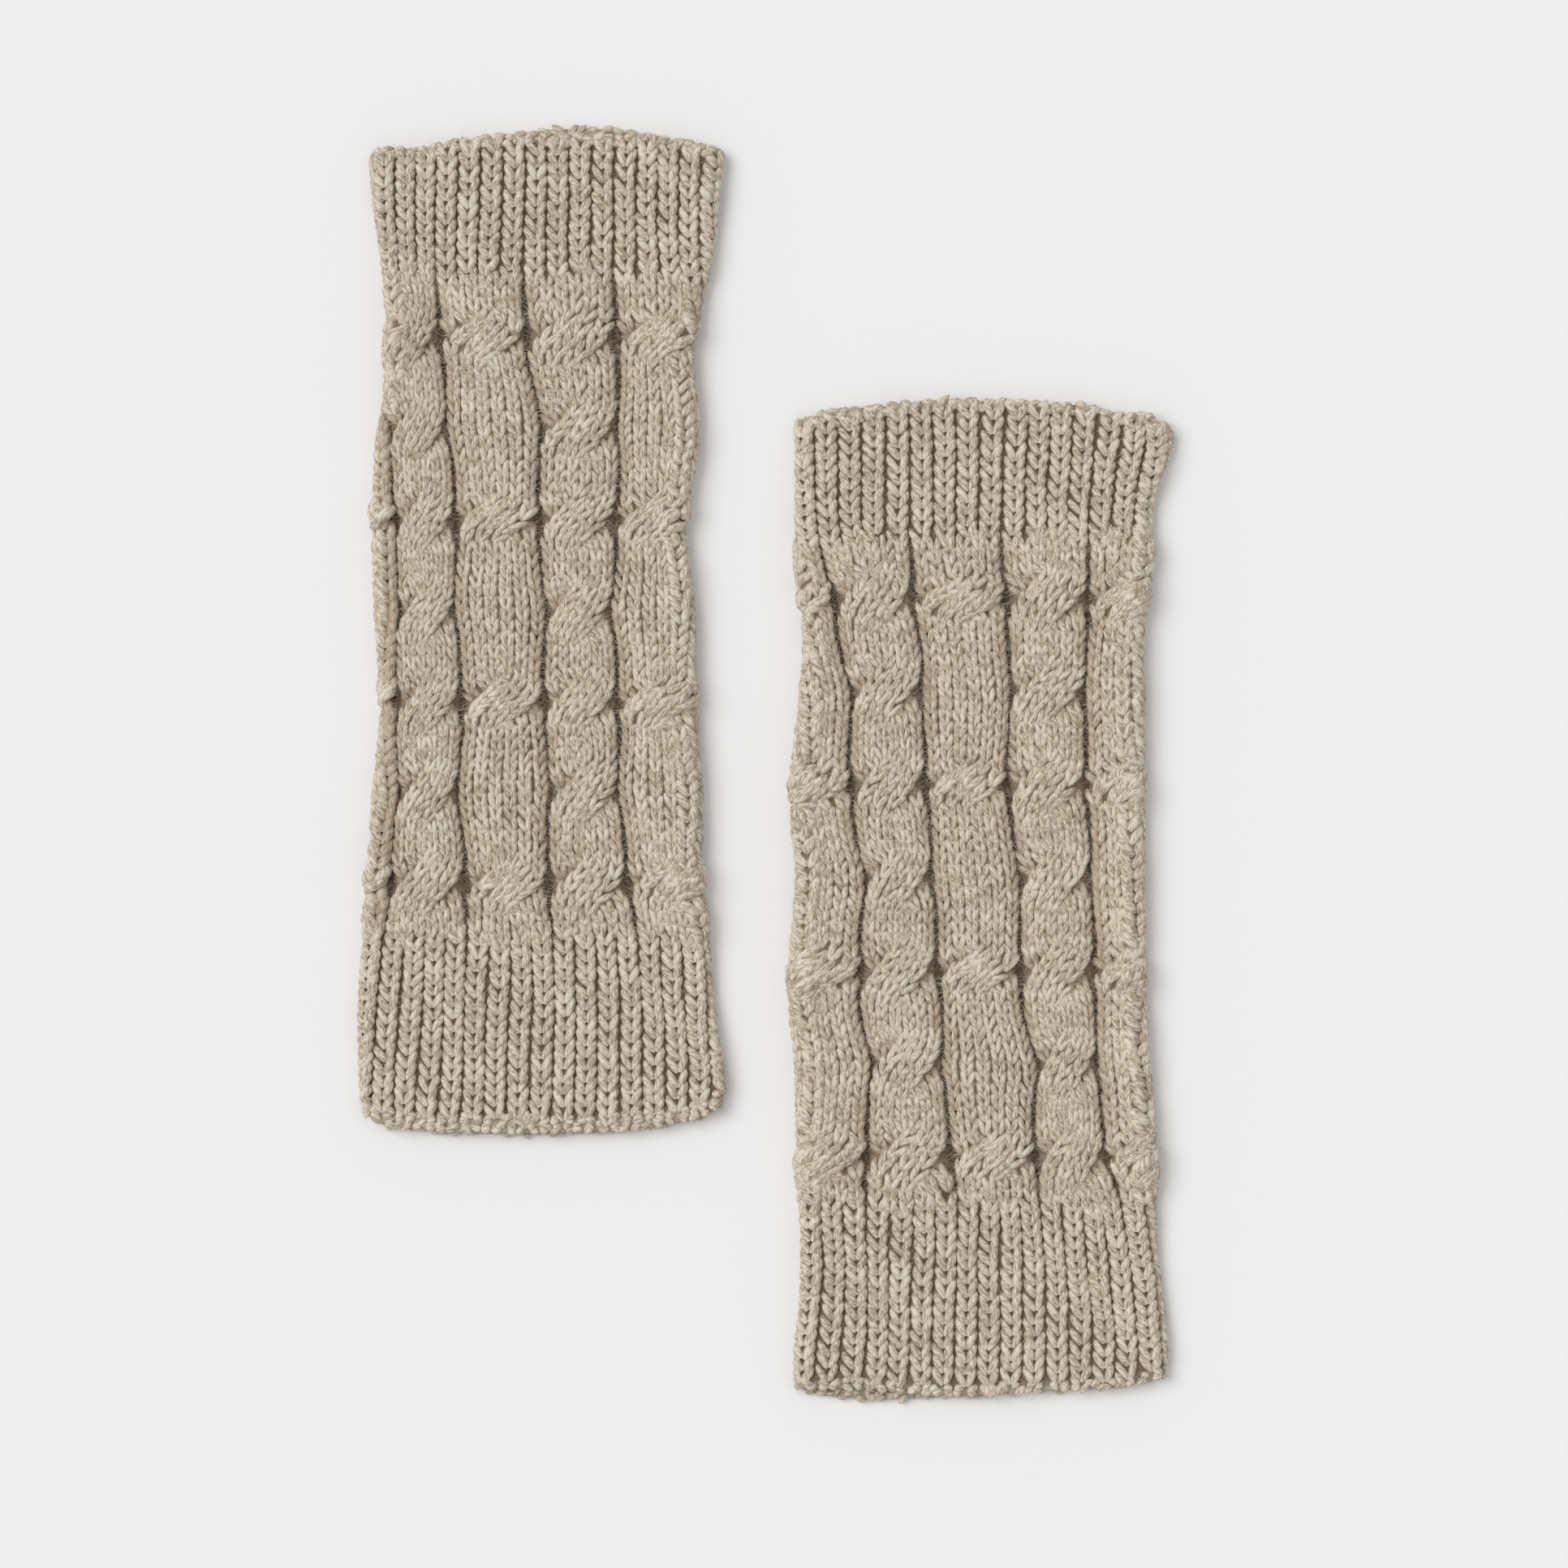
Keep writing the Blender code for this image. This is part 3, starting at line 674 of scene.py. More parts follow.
def knit_leg(cloth, yarn, dice, repeats, fine):
    """The stitches of some cables, either those that face up or those on the underside."""
    warmer = cloth.warmer
    row = (warmer.leg_to - warmer.leg_from) / LEG_ROWS
    half_rows = np.arange(-1, LEG_ROWS + 1, 0.5)
    repeat, column, number = flat_grid(repeats, np.arange(CABLE_STITCHES), half_rows)
    up = warmer.leg_from + (number + 0.5) * row
    width = cloth.stitch_width(repeat, up)
    cross = crossing(warmer, repeat, up, width)
    front = (column < GROUP) == (cross.along < 0)

    def path(at):
        there = crossing(warmer, repeat, at, width)
        return group_middle(there, front) + (column % GROUP - 1) * there.spread

    place = path(up)
    slope = (path(up + 0.5) - path(up - 0.5)) * width
    lean = np.where(np.abs(cross.along) < 1, np.arctan(slope), 0.0)
    close = lean > CLOSE_LEAN
    kept = (number % 1 == 0) | close
    power = np.where(close, CLOSE_STRETCH, SLANT_STRETCH)
    stretch = dice.uniform(*LEG_LENGTH, len(up)) / np.cos(lean) ** power
    lean = lean + stray(dice, repeat, up, LEG_STRAY["lean"])
    fullness = np.clip(width / USUAL_WIDTH, *FULLNESS) * (1 + STRETCHED_PLUMP * cross.lift)
    radius = yarn.radius * fullness * dice.uniform(*THICKNESS, len(up))
    share = 0.5 + (1 - 2 * GROOVE_SHARE) * (place - GROUP) / CABLE_STITCHES * cross.waist
    pitch = cloth.read("width", repeat + 0.5, up)
    u = repeat + share + stray(dice, repeat + share, up, LEG_STRAY["across"]) / pitch
    up = up + stray(dice, u, up, LEG_STRAY["up"])
    swelling = cloth.swelling(u, up, CABLE_RELIEF * cloth.facing(u, up))
    radius = radius * swelling**SWELL
    spread_width = width * (1 + NECK_SPREAD * cross.lift) * swelling ** (1 - SWELL)
    low, high = leg_ends(warmer, u)
    inside = (up > low - EDGE_LAP * row) & (up < high + EDGE_LAP * row)
    wanted = kept & inside & (split_by_facing(cloth, u, up) == fine)
    shape = CABLE_LEG if fine else UNDERSIDE_LEG
    spread_width, lean, stretch, radius = (part[wanted] for part in (spread_width, lean, stretch, radius))
    d_across, d_up, lift, thick = stitch_legs(shape, spread_width, row, lean, stretch, radius)
    u, up, place, width, pitch, repeat, front = (
        part[wanted][:, None, None] for part in (u, up, place, width, pitch, repeat, front)
    )
    there = crossing(warmer, repeat, up + d_up, width)
    cable = cable_height(place + d_across / width, there, front) * CABLE_RELIEF
    within = in_leg(warmer, u, up + d_up)
    height = RIB_TOP + (cable - RIB_TOP) * within
    # Painted shade: the yarn is darkened where its cable lies low, beside the grooves and where a strand
    # dives under the one in front
    painted_low_shade = LOW_SHADE * np.clip(1 - cable / CABLE_RELIEF, 0, 1) ** SHADE_POWER * within
    return on_cloth(cloth, yarn, dice, u + d_across / pitch, up + d_up, height, lift, thick, painted_low_shade)


def knit_cuff(cloth, yarn, dice, end, fine):
    """The ribbed stitches of one cuff."""
    warmer = cloth.warmer
    rows = CUFF_ROWS[end]
    rib, number = flat_grid(np.arange(REPEATS * RIBS_PER_REPEAT), np.arange(rows))
    u = (rib + 0.5) / RIBS_PER_REPEAT
    at_leg = leg_ends(warmer, u)[1 if end == "upper" else 0]
    edge = cloth.rim(end, u) + (-RIM_STRIP if end == "upper" else warmer.hem_strip)
    row = np.abs(edge - at_leg) / rows
    up = at_leg + (edge - at_leg) * (number + 0.5) / rows
    pitch = cloth.read("width", np.floor(u) + 0.5, up)
    width = pitch / RIBS_PER_REPEAT * RIB_FILL[end]
    lean = RIB_LEAN + stray(dice, u, up, RIB_STRAY["lean"])
    stretch = dice.uniform(*RIB_LENGTH, len(up))
    radius = yarn.radius * RIB_PLUMP * dice.uniform(*THICKNESS, len(up))
    up = up + stray(dice, u, up, RIB_STRAY["up"])
    u = u + stray(dice, u, up, RIB_STRAY["across"]) / pitch
    radius = radius * cloth.swelling(u, up, RIB_TOP * cloth.facing(u, up)) ** SWELL
    wanted = split_by_facing(cloth, u, up) == fine
    shape = RIB_LEG if fine else UNDERSIDE_LEG
    u, up, pitch = (part[wanted][:, None, None] for part in (u, up, pitch))
    legs = (part[wanted] for part in (width, row, lean, stretch, radius))
    d_across, d_up, lift, thick = stitch_legs(shape, *legs)
    height = rib_height(0.5 / RIBS_PER_REPEAT + d_across / pitch) * RIB_RELIEF
    return on_cloth(cloth, yarn, dice, u + d_across / pitch, up + d_up, height, lift, thick)


def fringe(cloth, yarn, dice):
    """Loose fibres that reach from both edges of the cables over the grooves between them."""
    warmer = cloth.warmer
    heights = np.arange(warmer.leg_from, warmer.leg_to, FRINGE_STEP)
    repeat, side, up = flat_grid(np.arange(REPEATS), (-1, 1), heights)
    up = up + dice.uniform(-1, 1, len(up))
    shows = cloth.read("normal_z", repeat + 0.5 + 0.5 * side, up) > 0.1
    repeat, side, up = (part[shows] for part in (repeat, side, up))
    cross = crossing(warmer, repeat, up, cloth.stitch_width(repeat, up))
    edge = np.abs(GROUP / 2 - GROUP * cross.swing) + (GROUP / 2 - FRINGE_INSET) * cross.spread
    root = repeat + 0.5 + side * edge * (1 - 2 * GROOVE_SHARE) / CABLE_STITCHES * cross.waist
    length = dice.uniform(*FRINGE_LENGTH, len(up)) * (1 + 0.5 * cross.lift)
    thick = dice.uniform(*FRINGE_THICKNESS, len(up))
    curl = dice.normal(0, FRINGE_CURL, len(up))
    fall = dice.uniform(0.3, 1.0, len(up))
    pitch = cloth.read("width", repeat + 0.5, up)
    root, side, up, length, thick, curl, fall, pitch = (
        part[:, None, None] for part in (root, side, up, length, thick, curl, fall, pitch)
    )
    share = np.array([0, 0.5, 1])
    u, up = root + side * length * share / pitch, up + curl * share**2
    height = CABLE_RELIEF * (FRINGE_FROM - FRINGE_FALL * fall * share)
    return on_cloth(cloth, yarn, dice, u, up, height, np.zeros_like(height), thick * (1 - 0.7 * share))


def bumps(cloth, yarn, dice, middle, length, rise, behind=False):
    """A row of short slanting bumps round an open end, two to a rib.

    They lie on the front and the folds, or behind, on the inner face of the layer on the table.
    """
    count = REPEATS * RIBS_PER_REPEAT * 2
    u = ((np.arange(count) + dice.uniform(0.2, 0.8, count)) * REPEATS / count)[:, None, None]
    normal = cloth.read("normal_z", u, np.full_like(u, middle(u).mean())).ravel()
    u = u[normal < -0.5] if behind else u[normal > -2 * FACES_UP]
    each = (len(u), 1, 1)
    up = middle(u) + dice.normal(0, BUMP_SCATTER, each)
    pitch = cloth.read("width", u, up)
    across = np.linspace(-1, 1, BUMP_POINTS) * np.ones(each)
    up = up + across * dice.normal(0, BUMP_SLANT, each)
    u = u + across * (length / 2 * dice.uniform(0.8, 1.2, each)) / pitch
    height, lift = BUMP_HEIGHT * np.ones_like(across), rise - BUMP_DIP * across**2
    thick = yarn.radius * dice.uniform(0.95, 1.3, each) * (1 - BUMP_TAPER * across**4)
    row = on_cloth(cloth, yarn, dice, u, up, height, lift, thick)
    if behind:
        over = cloth.inside(u, up)
        over[..., 2] += yarn.radius * (0.1 - 0.6 * across**2)
        row.points = over.reshape(len(u), -1, 3)
    return row


def rim_chain(cloth, yarn, dice):
    """The cast-off row along the upper rim: two strands of it in front and two behind."""
    rows = []
    for depth, rise, behind in RIM_ROWS:

        def middle(u):
            return cloth.rim("upper", u) - yarn.radius - depth

        rows.append(bumps(cloth, yarn, dice, middle, RIM_BUMP, rise, behind))
    return rows


def hem_rows(cloth, yarn, dice):
    """The felted rows of the cast-on edge along the hem."""
    rows = []
    for depth in np.arange(0.0, cloth.warmer.hem_strip - yarn.radius, HEM_ROW):

        def middle(u):
            return cloth.rim("lower", u) + yarn.radius + depth

        rows += [bumps(cloth, yarn, dice, middle, HEM_BUMP, HEM_LIFT, behind) for behind in (False, True)]
    return rows


def knot(cloth, yarn, dice):
    """The end of the yarn where it is drawn through the hem, as a small lump."""
    u, up = cloth.warmer.knot
    each = (KNOT_TURNS, 1, 1)
    angle, aside, upwards = dice.uniform(0, np.pi, each), dice.normal(0, 1, each), dice.normal(0, 1, each)
    along = np.linspace(-1, 1, BUMP_POINTS) * np.ones(each)
    pitch = cloth.read("width", np.floor(u) + 0.5, np.array(up))
    u = u + (aside + KNOT_REACH * along * np.cos(angle)) / pitch
    up = up + upwards + KNOT_REACH * along * np.sin(angle)
    thick = 0.9 * yarn.radius * (1 - BUMP_TAPER * along**4)
    return on_cloth(cloth, yarn, dice, u, up, RIB_TOP * np.ones_like(along), 0.5 - 0.9 * along**2, thick)


# Meshes


def store(mesh, **columns):
    """Gives a mesh's points numbers by name, or vectors where there are three for each."""
    for name, values in columns.items():
        kind, key = ("FLOAT_VECTOR", "vector") if values.ndim == 2 else ("FLOAT", "value")
        numbers = values.astype(np.float32).ravel()
        mesh.attributes.new(name, kind, "POINT").data.foreach_set(key, numbers)


def strand_mesh(name, groups):
    """A mesh of polylines, with the thickness, shade and length so far of every point."""
    rows = []
    start = 0
    for group in groups:
        strands, count = group.points.shape[:2]
        index = start + np.arange(strands * count).reshape(strands, count)
        steps = np.linalg.norm(np.diff(group.points, axis=1), axis=-1)
        rows.append((
            group.points.reshape(-1, 3),
            np.stack([index[:, :-1], index[:, 1:]], axis=-1).reshape(-1, 2),
            group.radius.ravel(),
            group.depth.ravel(),
            np.repeat(group.shade, count),
            np.pad(np.cumsum(steps, axis=1), ((0, 0), (1, 0))).ravel(),
            group.outwards.reshape(-1, 3),
        ))
        start += strands * count
    points, edges, radius, depth, shade, along, outwards = map(np.concatenate, zip(*rows))
    mesh = bpy.data.meshes.new(name)
    mesh.vertices.add(len(points))
    mesh.vertices.foreach_set("co", (points * MM).astype(np.float32).ravel())
    mesh.edges.add(len(edges))
    mesh.edges.foreach_set("vertices", edges.astype(np.int32).ravel())
    store(mesh, thickness=radius * MM, depth=depth, shade=shade, along=along, outwards=outwards)
    mesh.update()
    return mesh


class Tree:
    """A node tree that is built by naming a node's type, its settings and its sockets' values."""

    def __init__(self, tree):
        self.tree = tree

    def node(self, kind, sockets=(), **settings):
        """The outputs of a new node. Settings come first, then the values or links of its sockets."""
        made = self.tree.nodes.new(kind)
        for key, value in settings.items():
            setattr(made, key, value)
        for key, value in dict(sockets).items():
            socket = made.inputs[key]
            if isinstance(value, Signal):
                value = value.socket
            if isinstance(value, bpy.types.NodeSocket):
                self.tree.links.new(value, socket)
            else:
                socket.default_value = value
        return made.outputs

    def first(self, kind, sockets=(), **settings):
        """The first output of a new node."""
        return self.node(kind, sockets, **settings)[0]

    def named(self, name, kind="FLOAT"):
        """A number or vector that the points carry."""
        return self.first("GeometryNodeInputNamedAttribute", {"Name": name}, data_type=kind)

    def stored(self, geometry, name, value, kind):
        """The geometry with a value of its points kept under a name."""
        sockets = {"Geometry": geometry, "Name": name, "Value": value}
        return self.first("GeometryNodeStoreNamedAttribute", sockets, data_type=kind, domain="POINT")


class Signal:
    """A socket in an expression: + - * / and the functions below add Math nodes."""

    def __init__(self, tree, socket):
        self.tree = tree
        self.socket = socket

    def math(self, operation, *others):
        sockets = enumerate((self, *others))
        return Signal(self.tree, self.tree.first("ShaderNodeMath", sockets, operation=operation))

    def __add__(self, other):
        return self.math("ADD", other)

    def __sub__(self, other):
        return self.math("SUBTRACT", other)

    def __rsub__(self, other):
        return self.math("MULTIPLY_ADD", -1.0, other)

    def __mul__(self, other):
        return self.math("MULTIPLY", other)

    def __truediv__(self, other):
        return self.math("DIVIDE", other)

    def between(self, low, high):
        """0 below low, 1 above high and a smooth step between them."""
        sockets = {"Value": self, "From Min": low, "From Max": high}
        made = self.tree.first("ShaderNodeMapRange", sockets, interpolation_type="SMOOTHSTEP")
        return Signal(self.tree, made)


def new_group(name, inputs):
    """A geometry-nodes tree with named inputs, each given as a type and a default value."""
    group = bpy.data.node_groups.new(name, "GeometryNodeTree")
    group.interface.new_socket("Geometry", in_out="INPUT", socket_type="NodeSocketGeometry")
    for label, (kind, default) in inputs.items():
        socket = group.interface.new_socket(label, in_out="INPUT", socket_type=kind)
        if default is not None:
            socket.default_value = default
    group.interface.new_socket("Geometry", in_out="OUTPUT", socket_type="NodeSocketGeometry")
    return Tree(group), group.nodes.new("NodeGroupInput").outputs


def end_group(tree, geometry, material):
    """Ends a tree in real geometry with its material."""
    real = tree.first("GeometryNodeRealizeInstances", {"Geometry": geometry})
    painted = tree.first("GeometryNodeSetMaterial", {"Geometry": real, "Material": material})
    tree.node("NodeGroupOutput", {"Geometry": painted})
    return tree.tree


def strand_tree():
    """Geometry nodes that give polylines the round body of yarn."""
    inputs = {"Sides": ("NodeSocketInt", 6), "Yarn": ("NodeSocketMaterial", None)}
    tree, given = new_group("Strands of yarn", inputs)
    curves = tree.first("GeometryNodeMeshToCurve", {"Mesh": given["Geometry"]})
    ring = tree.first("GeometryNodeCurvePrimitiveCircle", {"Resolution": given["Sides"], "Radius": 1.0})
    position = tree.first("GeometryNodeInputPosition")
    profile = tree.stored(ring, "around", position, "FLOAT_VECTOR")
    sockets = {"Curve": curves, "Profile Curve": profile, "Scale": tree.named("thickness")}
    body = tree.first("GeometryNodeCurveToMesh", sockets)
    # How far each face turns from the cloth, which the yarn's material uses to paint shade on the yarn's
    # sides
    outwards = tree.named("outwards", "FLOAT_VECTOR")
    normal = tree.first("GeometryNodeInputNormal")
    facing = tree.node("ShaderNodeVectorMath", {0: normal, 1: outwards}, operation="DOT_PRODUCT")["Value"]
    known = tree.stored(body, "stands_out", facing, "FLOAT")
    smooth = tree.first("GeometryNodeSetShadeSmooth", {"Geometry": known})
    return end_group(tree, smooth, given["Yarn"])


def fuzz_tree():
    """Geometry nodes that scatter short bent fibres over the cloth, thickest where "fuzz" is high."""
    inputs = {
        "Density": ("NodeSocketFloat", 100.0),
        "Length": ("NodeSocketFloat", 0.003),
        "Thickness": ("NodeSocketFloat", 0.0001),
        "Height": ("NodeSocketFloat", 0.001),
        "Seed": ("NodeSocketInt", 0),
        "Yarn": ("NodeSocketMaterial", None),
    }
    tree, given = new_group("Fuzz", inputs)
    length, seed = given["Length"], given["Seed"]
    density = Signal(tree, tree.named("fuzz")) * given["Density"]
    points = tree.node(
        "GeometryNodeDistributePointsOnFaces",
        {"Mesh": given["Geometry"], "Density": density, "Seed": seed},
        distribute_method="RANDOM",
    )
    cone = {"Vertices": 3, "Side Segments": 2, "Radius Top": 0.0, "Radius Bottom": given["Thickness"]}
    fibre = tree.first("GeometryNodeMeshCone", {**cone, "Depth": length}, fill_type="NONE")
    height = tree.node("ShaderNodeSeparateXYZ", {"Vector": tree.first("GeometryNodeInputPosition")})["Z"]
    share = Signal(tree, height) / length
    aside = tree.first("ShaderNodeCombineXYZ", {"X": share * share * length})
    bent = tree.first("GeometryNodeSetPosition", {"Geometry": fibre, "Offset": aside})
    turn = tree.first(
        "FunctionNodeRandomValue",
        {0: (0.9, 0.0, 0.0), 1: (1.6, 0.0, 2 * math.pi), "Seed": seed},
        data_type="FLOAT_VECTOR",
    )
    turned = tree.first(
        "FunctionNodeRotateRotation",
        {
            "Rotation": points["Rotation"],
            "Rotate By": tree.first("FunctionNodeEulerToRotation", {"Euler": turn}),
        },
        rotation_space="LOCAL",
    )
    size = tree.node("FunctionNodeRandomValue", {2: 0.5, 3: 1.3, "Seed": seed}, data_type="FLOAT")[1]
    lift = {0: points["Normal"], "Scale": given["Height"]}
    outwards = tree.first("ShaderNodeVectorMath", lift, operation="SCALE")
    raised = tree.first("GeometryNodeSetPosition", {"Geometry": points["Points"], "Offset": outwards})
    fibres = {"Points": raised, "Instance": bent, "Rotation": turned, "Scale": size}
    return end_group(tree, tree.first("GeometryNodeInstanceOnPoints", fibres), given["Yarn"])


def set_input(modifier, name, value):
    """Sets a modifier's named input by its socket's identifier."""
    for socket in modifier.node_group.interface.items_tree:
        if socket.item_type == "SOCKET" and socket.in_out == "INPUT" and socket.name == name:
            modifier[socket.identifier] = value


def finished(name, mesh, group, inputs):
    """Evaluates a geometry-nodes tree on a mesh, and returns the result as a plain object."""
    source = bpy.data.objects.new(name + "_lines", mesh)
    bpy.context.scene.collection.objects.link(source)
    modifier = source.modifiers.new("Build", "NODES")
    modifier.node_group = group
    for key, value in inputs.items():
        set_input(modifier, key, value)
    graph = bpy.context.evaluated_depsgraph_get()
    result = bpy.data.meshes.new_from_object(source.evaluated_get(graph))
    bpy.data.objects.remove(source)
    bpy.data.meshes.remove(mesh)
    rest_on_table(result)
    result.name = name
    piece = bpy.data.objects.new(name, result)
    bpy.context.scene.collection.objects.link(piece)
    return piece


def rest_on_table(mesh):
    """Presses flat whatever would reach below the table."""
    places = np.empty(len(mesh.vertices) * 3, np.float32)
    mesh.vertices.foreach_get("co", places)
    places = places.reshape(-1, 3)
    places[:, 2] = np.maximum(places[:, 2], 0.0)
    mesh.vertices.foreach_set("co", places.ravel())
    mesh.update()


def shell_faces(around, outer_rows, inner_rows):
    """Quads of a wall with an outer and an inner face, joined along both open ends."""
    here = np.arange(around)
    after = (here + 1) % around
    inner = outer_rows * around
    quads = []
    for rows, start in ((outer_rows, 0), (inner_rows, inner)):
        for row in range(rows - 1):
            low = start + row * around
            quad = np.stack([low + here, low + after, low + around + after, low + around + here], axis=1)
            quads.append(quad if start == 0 else quad[:, ::-1])
    top, inner_top = inner - around, inner + (inner_rows - 1) * around
    hem = np.stack([here, inner + here, inner + after, after], axis=1)
    rim = np.stack([top + here, top + after, inner_top + after, inner_top + here], axis=1)
    return np.concatenate(quads + [np.stack([hem, rim], axis=1).reshape(-1, 4)]).tolist()


def shell_mesh(name, cloth, sink):
    """The cloth under the stitches: a closed wall round a hollow, open at both ends."""
    around = REPEATS * SHELL_AROUND
    u = np.arange(around) / SHELL_AROUND
    low, high = cloth.rim("lower", u) + HEM_ROUNDING, cloth.rim("upper", u) - RIM_STRIP / 2
    outer = [low + (high - low) * share for share in np.linspace(0, 1, SHELL_ROWS)]
    inner = outer[::SHELL_INNER_EVERY]
    points, felt = [], []
    for up in outer:
        from_end = np.clip((up - low) / cloth.warmer.hem_strip, 0, 1)
        at_hem = 1 - from_end**4
        facing = cloth.facing(u, up)
        lumps = LUMPS * unevenness(LUMP_SEED, u * 5, up * 4) * facing
        plain = HEM_RELIEF * facing * np.sqrt(np.clip(from_end * 2.2, 0, 1)) + lumps - HEM_SINK
        ribbed = cloth_relief(cloth, u, up) * facing - sink
        points.append(cloth.place(u, up, ribbed + (plain - ribbed) * at_hem))
        felt.append(np.maximum(at_hem, np.clip(1 - (high - up) / RIM_STRIP, 0, 1)))
    points = np.concatenate(points + [cloth.inside(u, up) for up in inner])
    points[:, 2] = np.maximum(points[:, 2], SHELL_FLOOR)
    mesh = bpy.data.meshes.new(name)
    mesh.from_pydata((points * MM).tolist(), [], shell_faces(around, len(outer), len(inner)))
    mesh.shade_smooth()
    felt = np.concatenate(felt + [np.ones(len(inner) * around)])
    ups = np.concatenate(outer + inner)
    us = np.tile(u, len(outer) + len(inner))
    rise = cloth.read("normal_z", us, ups)
    # Painted shade on the cloth between the stitches: a dark line along each groove, the cables' pits, and
    # the ribs' pits and valleys
    low_lying = np.clip(1 - GROOVE_DROP * cloth_relief(cloth, us, ups) / CABLE_RELIEF, 0, 1)
    share = us - np.floor(us)
    from_groove = np.minimum(share, 1 - share) * cloth.read("width", us, ups)
    line = np.clip(1 - (from_groove / GROOVE_SHADE_REACH) ** 2, 0, 1)
    within = in_leg(cloth.warmer, us, ups)
    valley = np.where(ups > cloth.warmer.leg_to, RIB_VALLEY_SHADE["upper"], RIB_VALLEY_SHADE["lower"])
    rib_painted_shade = valley + RIB_PIT_SHADE * rib_height(share) ** 8
    sunk = (low_lying * line + CABLE_PIT_SHADE * (1 - low_lying)) * within + rib_painted_shade * (1 - within)
    fuzz = np.clip((rise + 0.5) * 2, 0, 1) * (1 + EDGE_FUZZ * (1 - np.abs(rise)) + GROOVE_FUZZ * low_lying)
    fuzz[len(outer) * around:] = 0.0
    store(mesh, round_place=us, up_place=ups, felt=felt, fuzz=fuzz, sunk=sunk)
    return mesh


# Materials


def new_material(name, roughness):
    """A material with its shader, and the tree that drives it."""
    material = bpy.data.materials.new(name)
    material.use_nodes = True
    tree = Tree(material.node_tree)
    shader = material.node_tree.nodes["Principled BSDF"]
    shader.inputs["Roughness"].default_value = roughness
    shader.inputs["Specular IOR Level"].default_value = 0.15
    return material, tree, shader


def mix(tree, factor, first, second):
    """A colour between two others."""
    return tree.node("ShaderNodeMix", {0: factor, 6: first, 7: second}, data_type="RGBA")[2]


def noise(tree, vector, scale, detail, roughness=0.6):
    """One noise texture's value."""
    sockets = {"Vector": vector, "Scale": scale, "Detail": detail, "Roughness": roughness}
    return Signal(tree, tree.node("ShaderNodeTexNoise", sockets)["Fac"])


def attribute(tree, name):
    """A number that the mesh carries."""
    return Signal(tree, tree.node("ShaderNodeAttribute", attribute_name=name)["Fac"])


def finish_shader(tree, shader, colour, height, distance):
    """Links a colour and a bump of that height to a shader."""
    bump = tree.first("ShaderNodeBump", {"Height": height, "Strength": 1.0, "Distance": distance})
    tree.tree.links.new(colour, shader.inputs["Base Color"])
    tree.tree.links.new(bump, shader.inputs["Normal"])


def yarn_material(settings):
    """Heather yarn: pale and brownish fibres that wind round a soft plied strand, with painted shade on it.
    """
    material, tree, shader = new_material("heather_yarn", 0.95)
    shader.inputs["Sheen Weight"].default_value = 0.15
    shader.inputs["Sheen Roughness"].default_value = 0.6
    around = tree.node("ShaderNodeAttribute", attribute_name="around")["Vector"]
    across = tree.node("ShaderNodeSeparateXYZ", {"Vector": around})
    along, shade, depth = attribute(tree, "along"), attribute(tree, "shade"), attribute(tree, "depth")
    turn = Signal(tree, across["Y"]).math("ARCTAN2", across["X"]) + shade * 40.0
    fibre_turn = turn + along * (2 * math.pi / settings.fibre_pitch)
    ply_turn = turn + along * (2 * math.pi / settings.ply_pitch)
    winding = {"X": fibre_turn.math("COSINE"), "Y": fibre_turn.math("SINE"), "Z": along * 0.22 + shade * 57.0}
    streaks = noise(tree, tree.first("ShaderNodeCombineXYZ", winding), 2.5, 3.0, 0.7)
    ply = ((ply_turn * 2.0).math("COSINE") * 0.5 + 0.5).between(0.0, 0.5)
    patches = noise(tree, tree.node("ShaderNodeTexCoord")["Object"], 320.0, 2.0)
    fine = streaks * 0.8 + patches * 0.2 + (shade - 0.5) * 0.05
    fibres = mix(tree, fine.between(*YARN_MARL), settings.dark_fibre, settings.pale_fibre)
    # Painted shade: the painted shade colour goes between the plies, where the yarn dips or lies low, and on
    # its sides
    aside = 1.0 - attribute(tree, "stands_out").between(-0.2, 0.75)
    yarn_painted_shade = (1.0 - ply) * PLY_SHADE + depth.between(0.25, 1.1) * DIP_SHADE + aside * SIDE_SHADE
    colour = mix(tree, yarn_painted_shade, fibres, settings.painted_shade_colour)
    finish_shader(tree, shader, colour, streaks * 0.7 + ply * 0.3, YARN_BUMP)
    return material


def shell_material(settings):
    """The cloth between the stitches, coloured dark as painted shade, and the felted cloth of the hem and the
    inside.
    """
    material, tree, shader = new_material("felt_and_painted_shade", 1.0)
    u, up = attribute(tree, "round_place"), attribute(tree, "up_place")
    rows = (up * (2 * math.pi / USUAL_ROW) + (u * (2 * math.pi * REPEATS)).math("COSINE") * 0.8).math("SINE")
    place = tree.node("ShaderNodeTexCoord")["Object"]
    grain = noise(tree, place, 1400.0, 4.0, 0.8)
    blotches = noise(tree, place, 330.0, 3.0)
    weave = (grain + rows * 0.15).between(0.3, 0.7)
    # The pits between stitches: painted shade mixed with the dark fibre's own colour, with deeper painted
    # shade where the cloth is marked for it
    pit_shade_colour = mix(tree, weave, settings.painted_shade_colour, settings.dark_fibre)
    between = mix(tree, attribute(tree, "sunk").between(0.1, 0.5), pit_shade_colour, settings.deep_shade_colour)
    marl = (grain * 0.6 + blotches * 0.4).between(*FELT_MARL)
    felted = mix(tree, marl, settings.dark_fibre, settings.pale_fibre)
    colour = mix(tree, attribute(tree, "felt").between(0.3, 0.9), between, felted)
    finish_shader(tree, shader, colour, rows * 0.2 + grain * 0.8, CLOTH_BUMP)
    return material


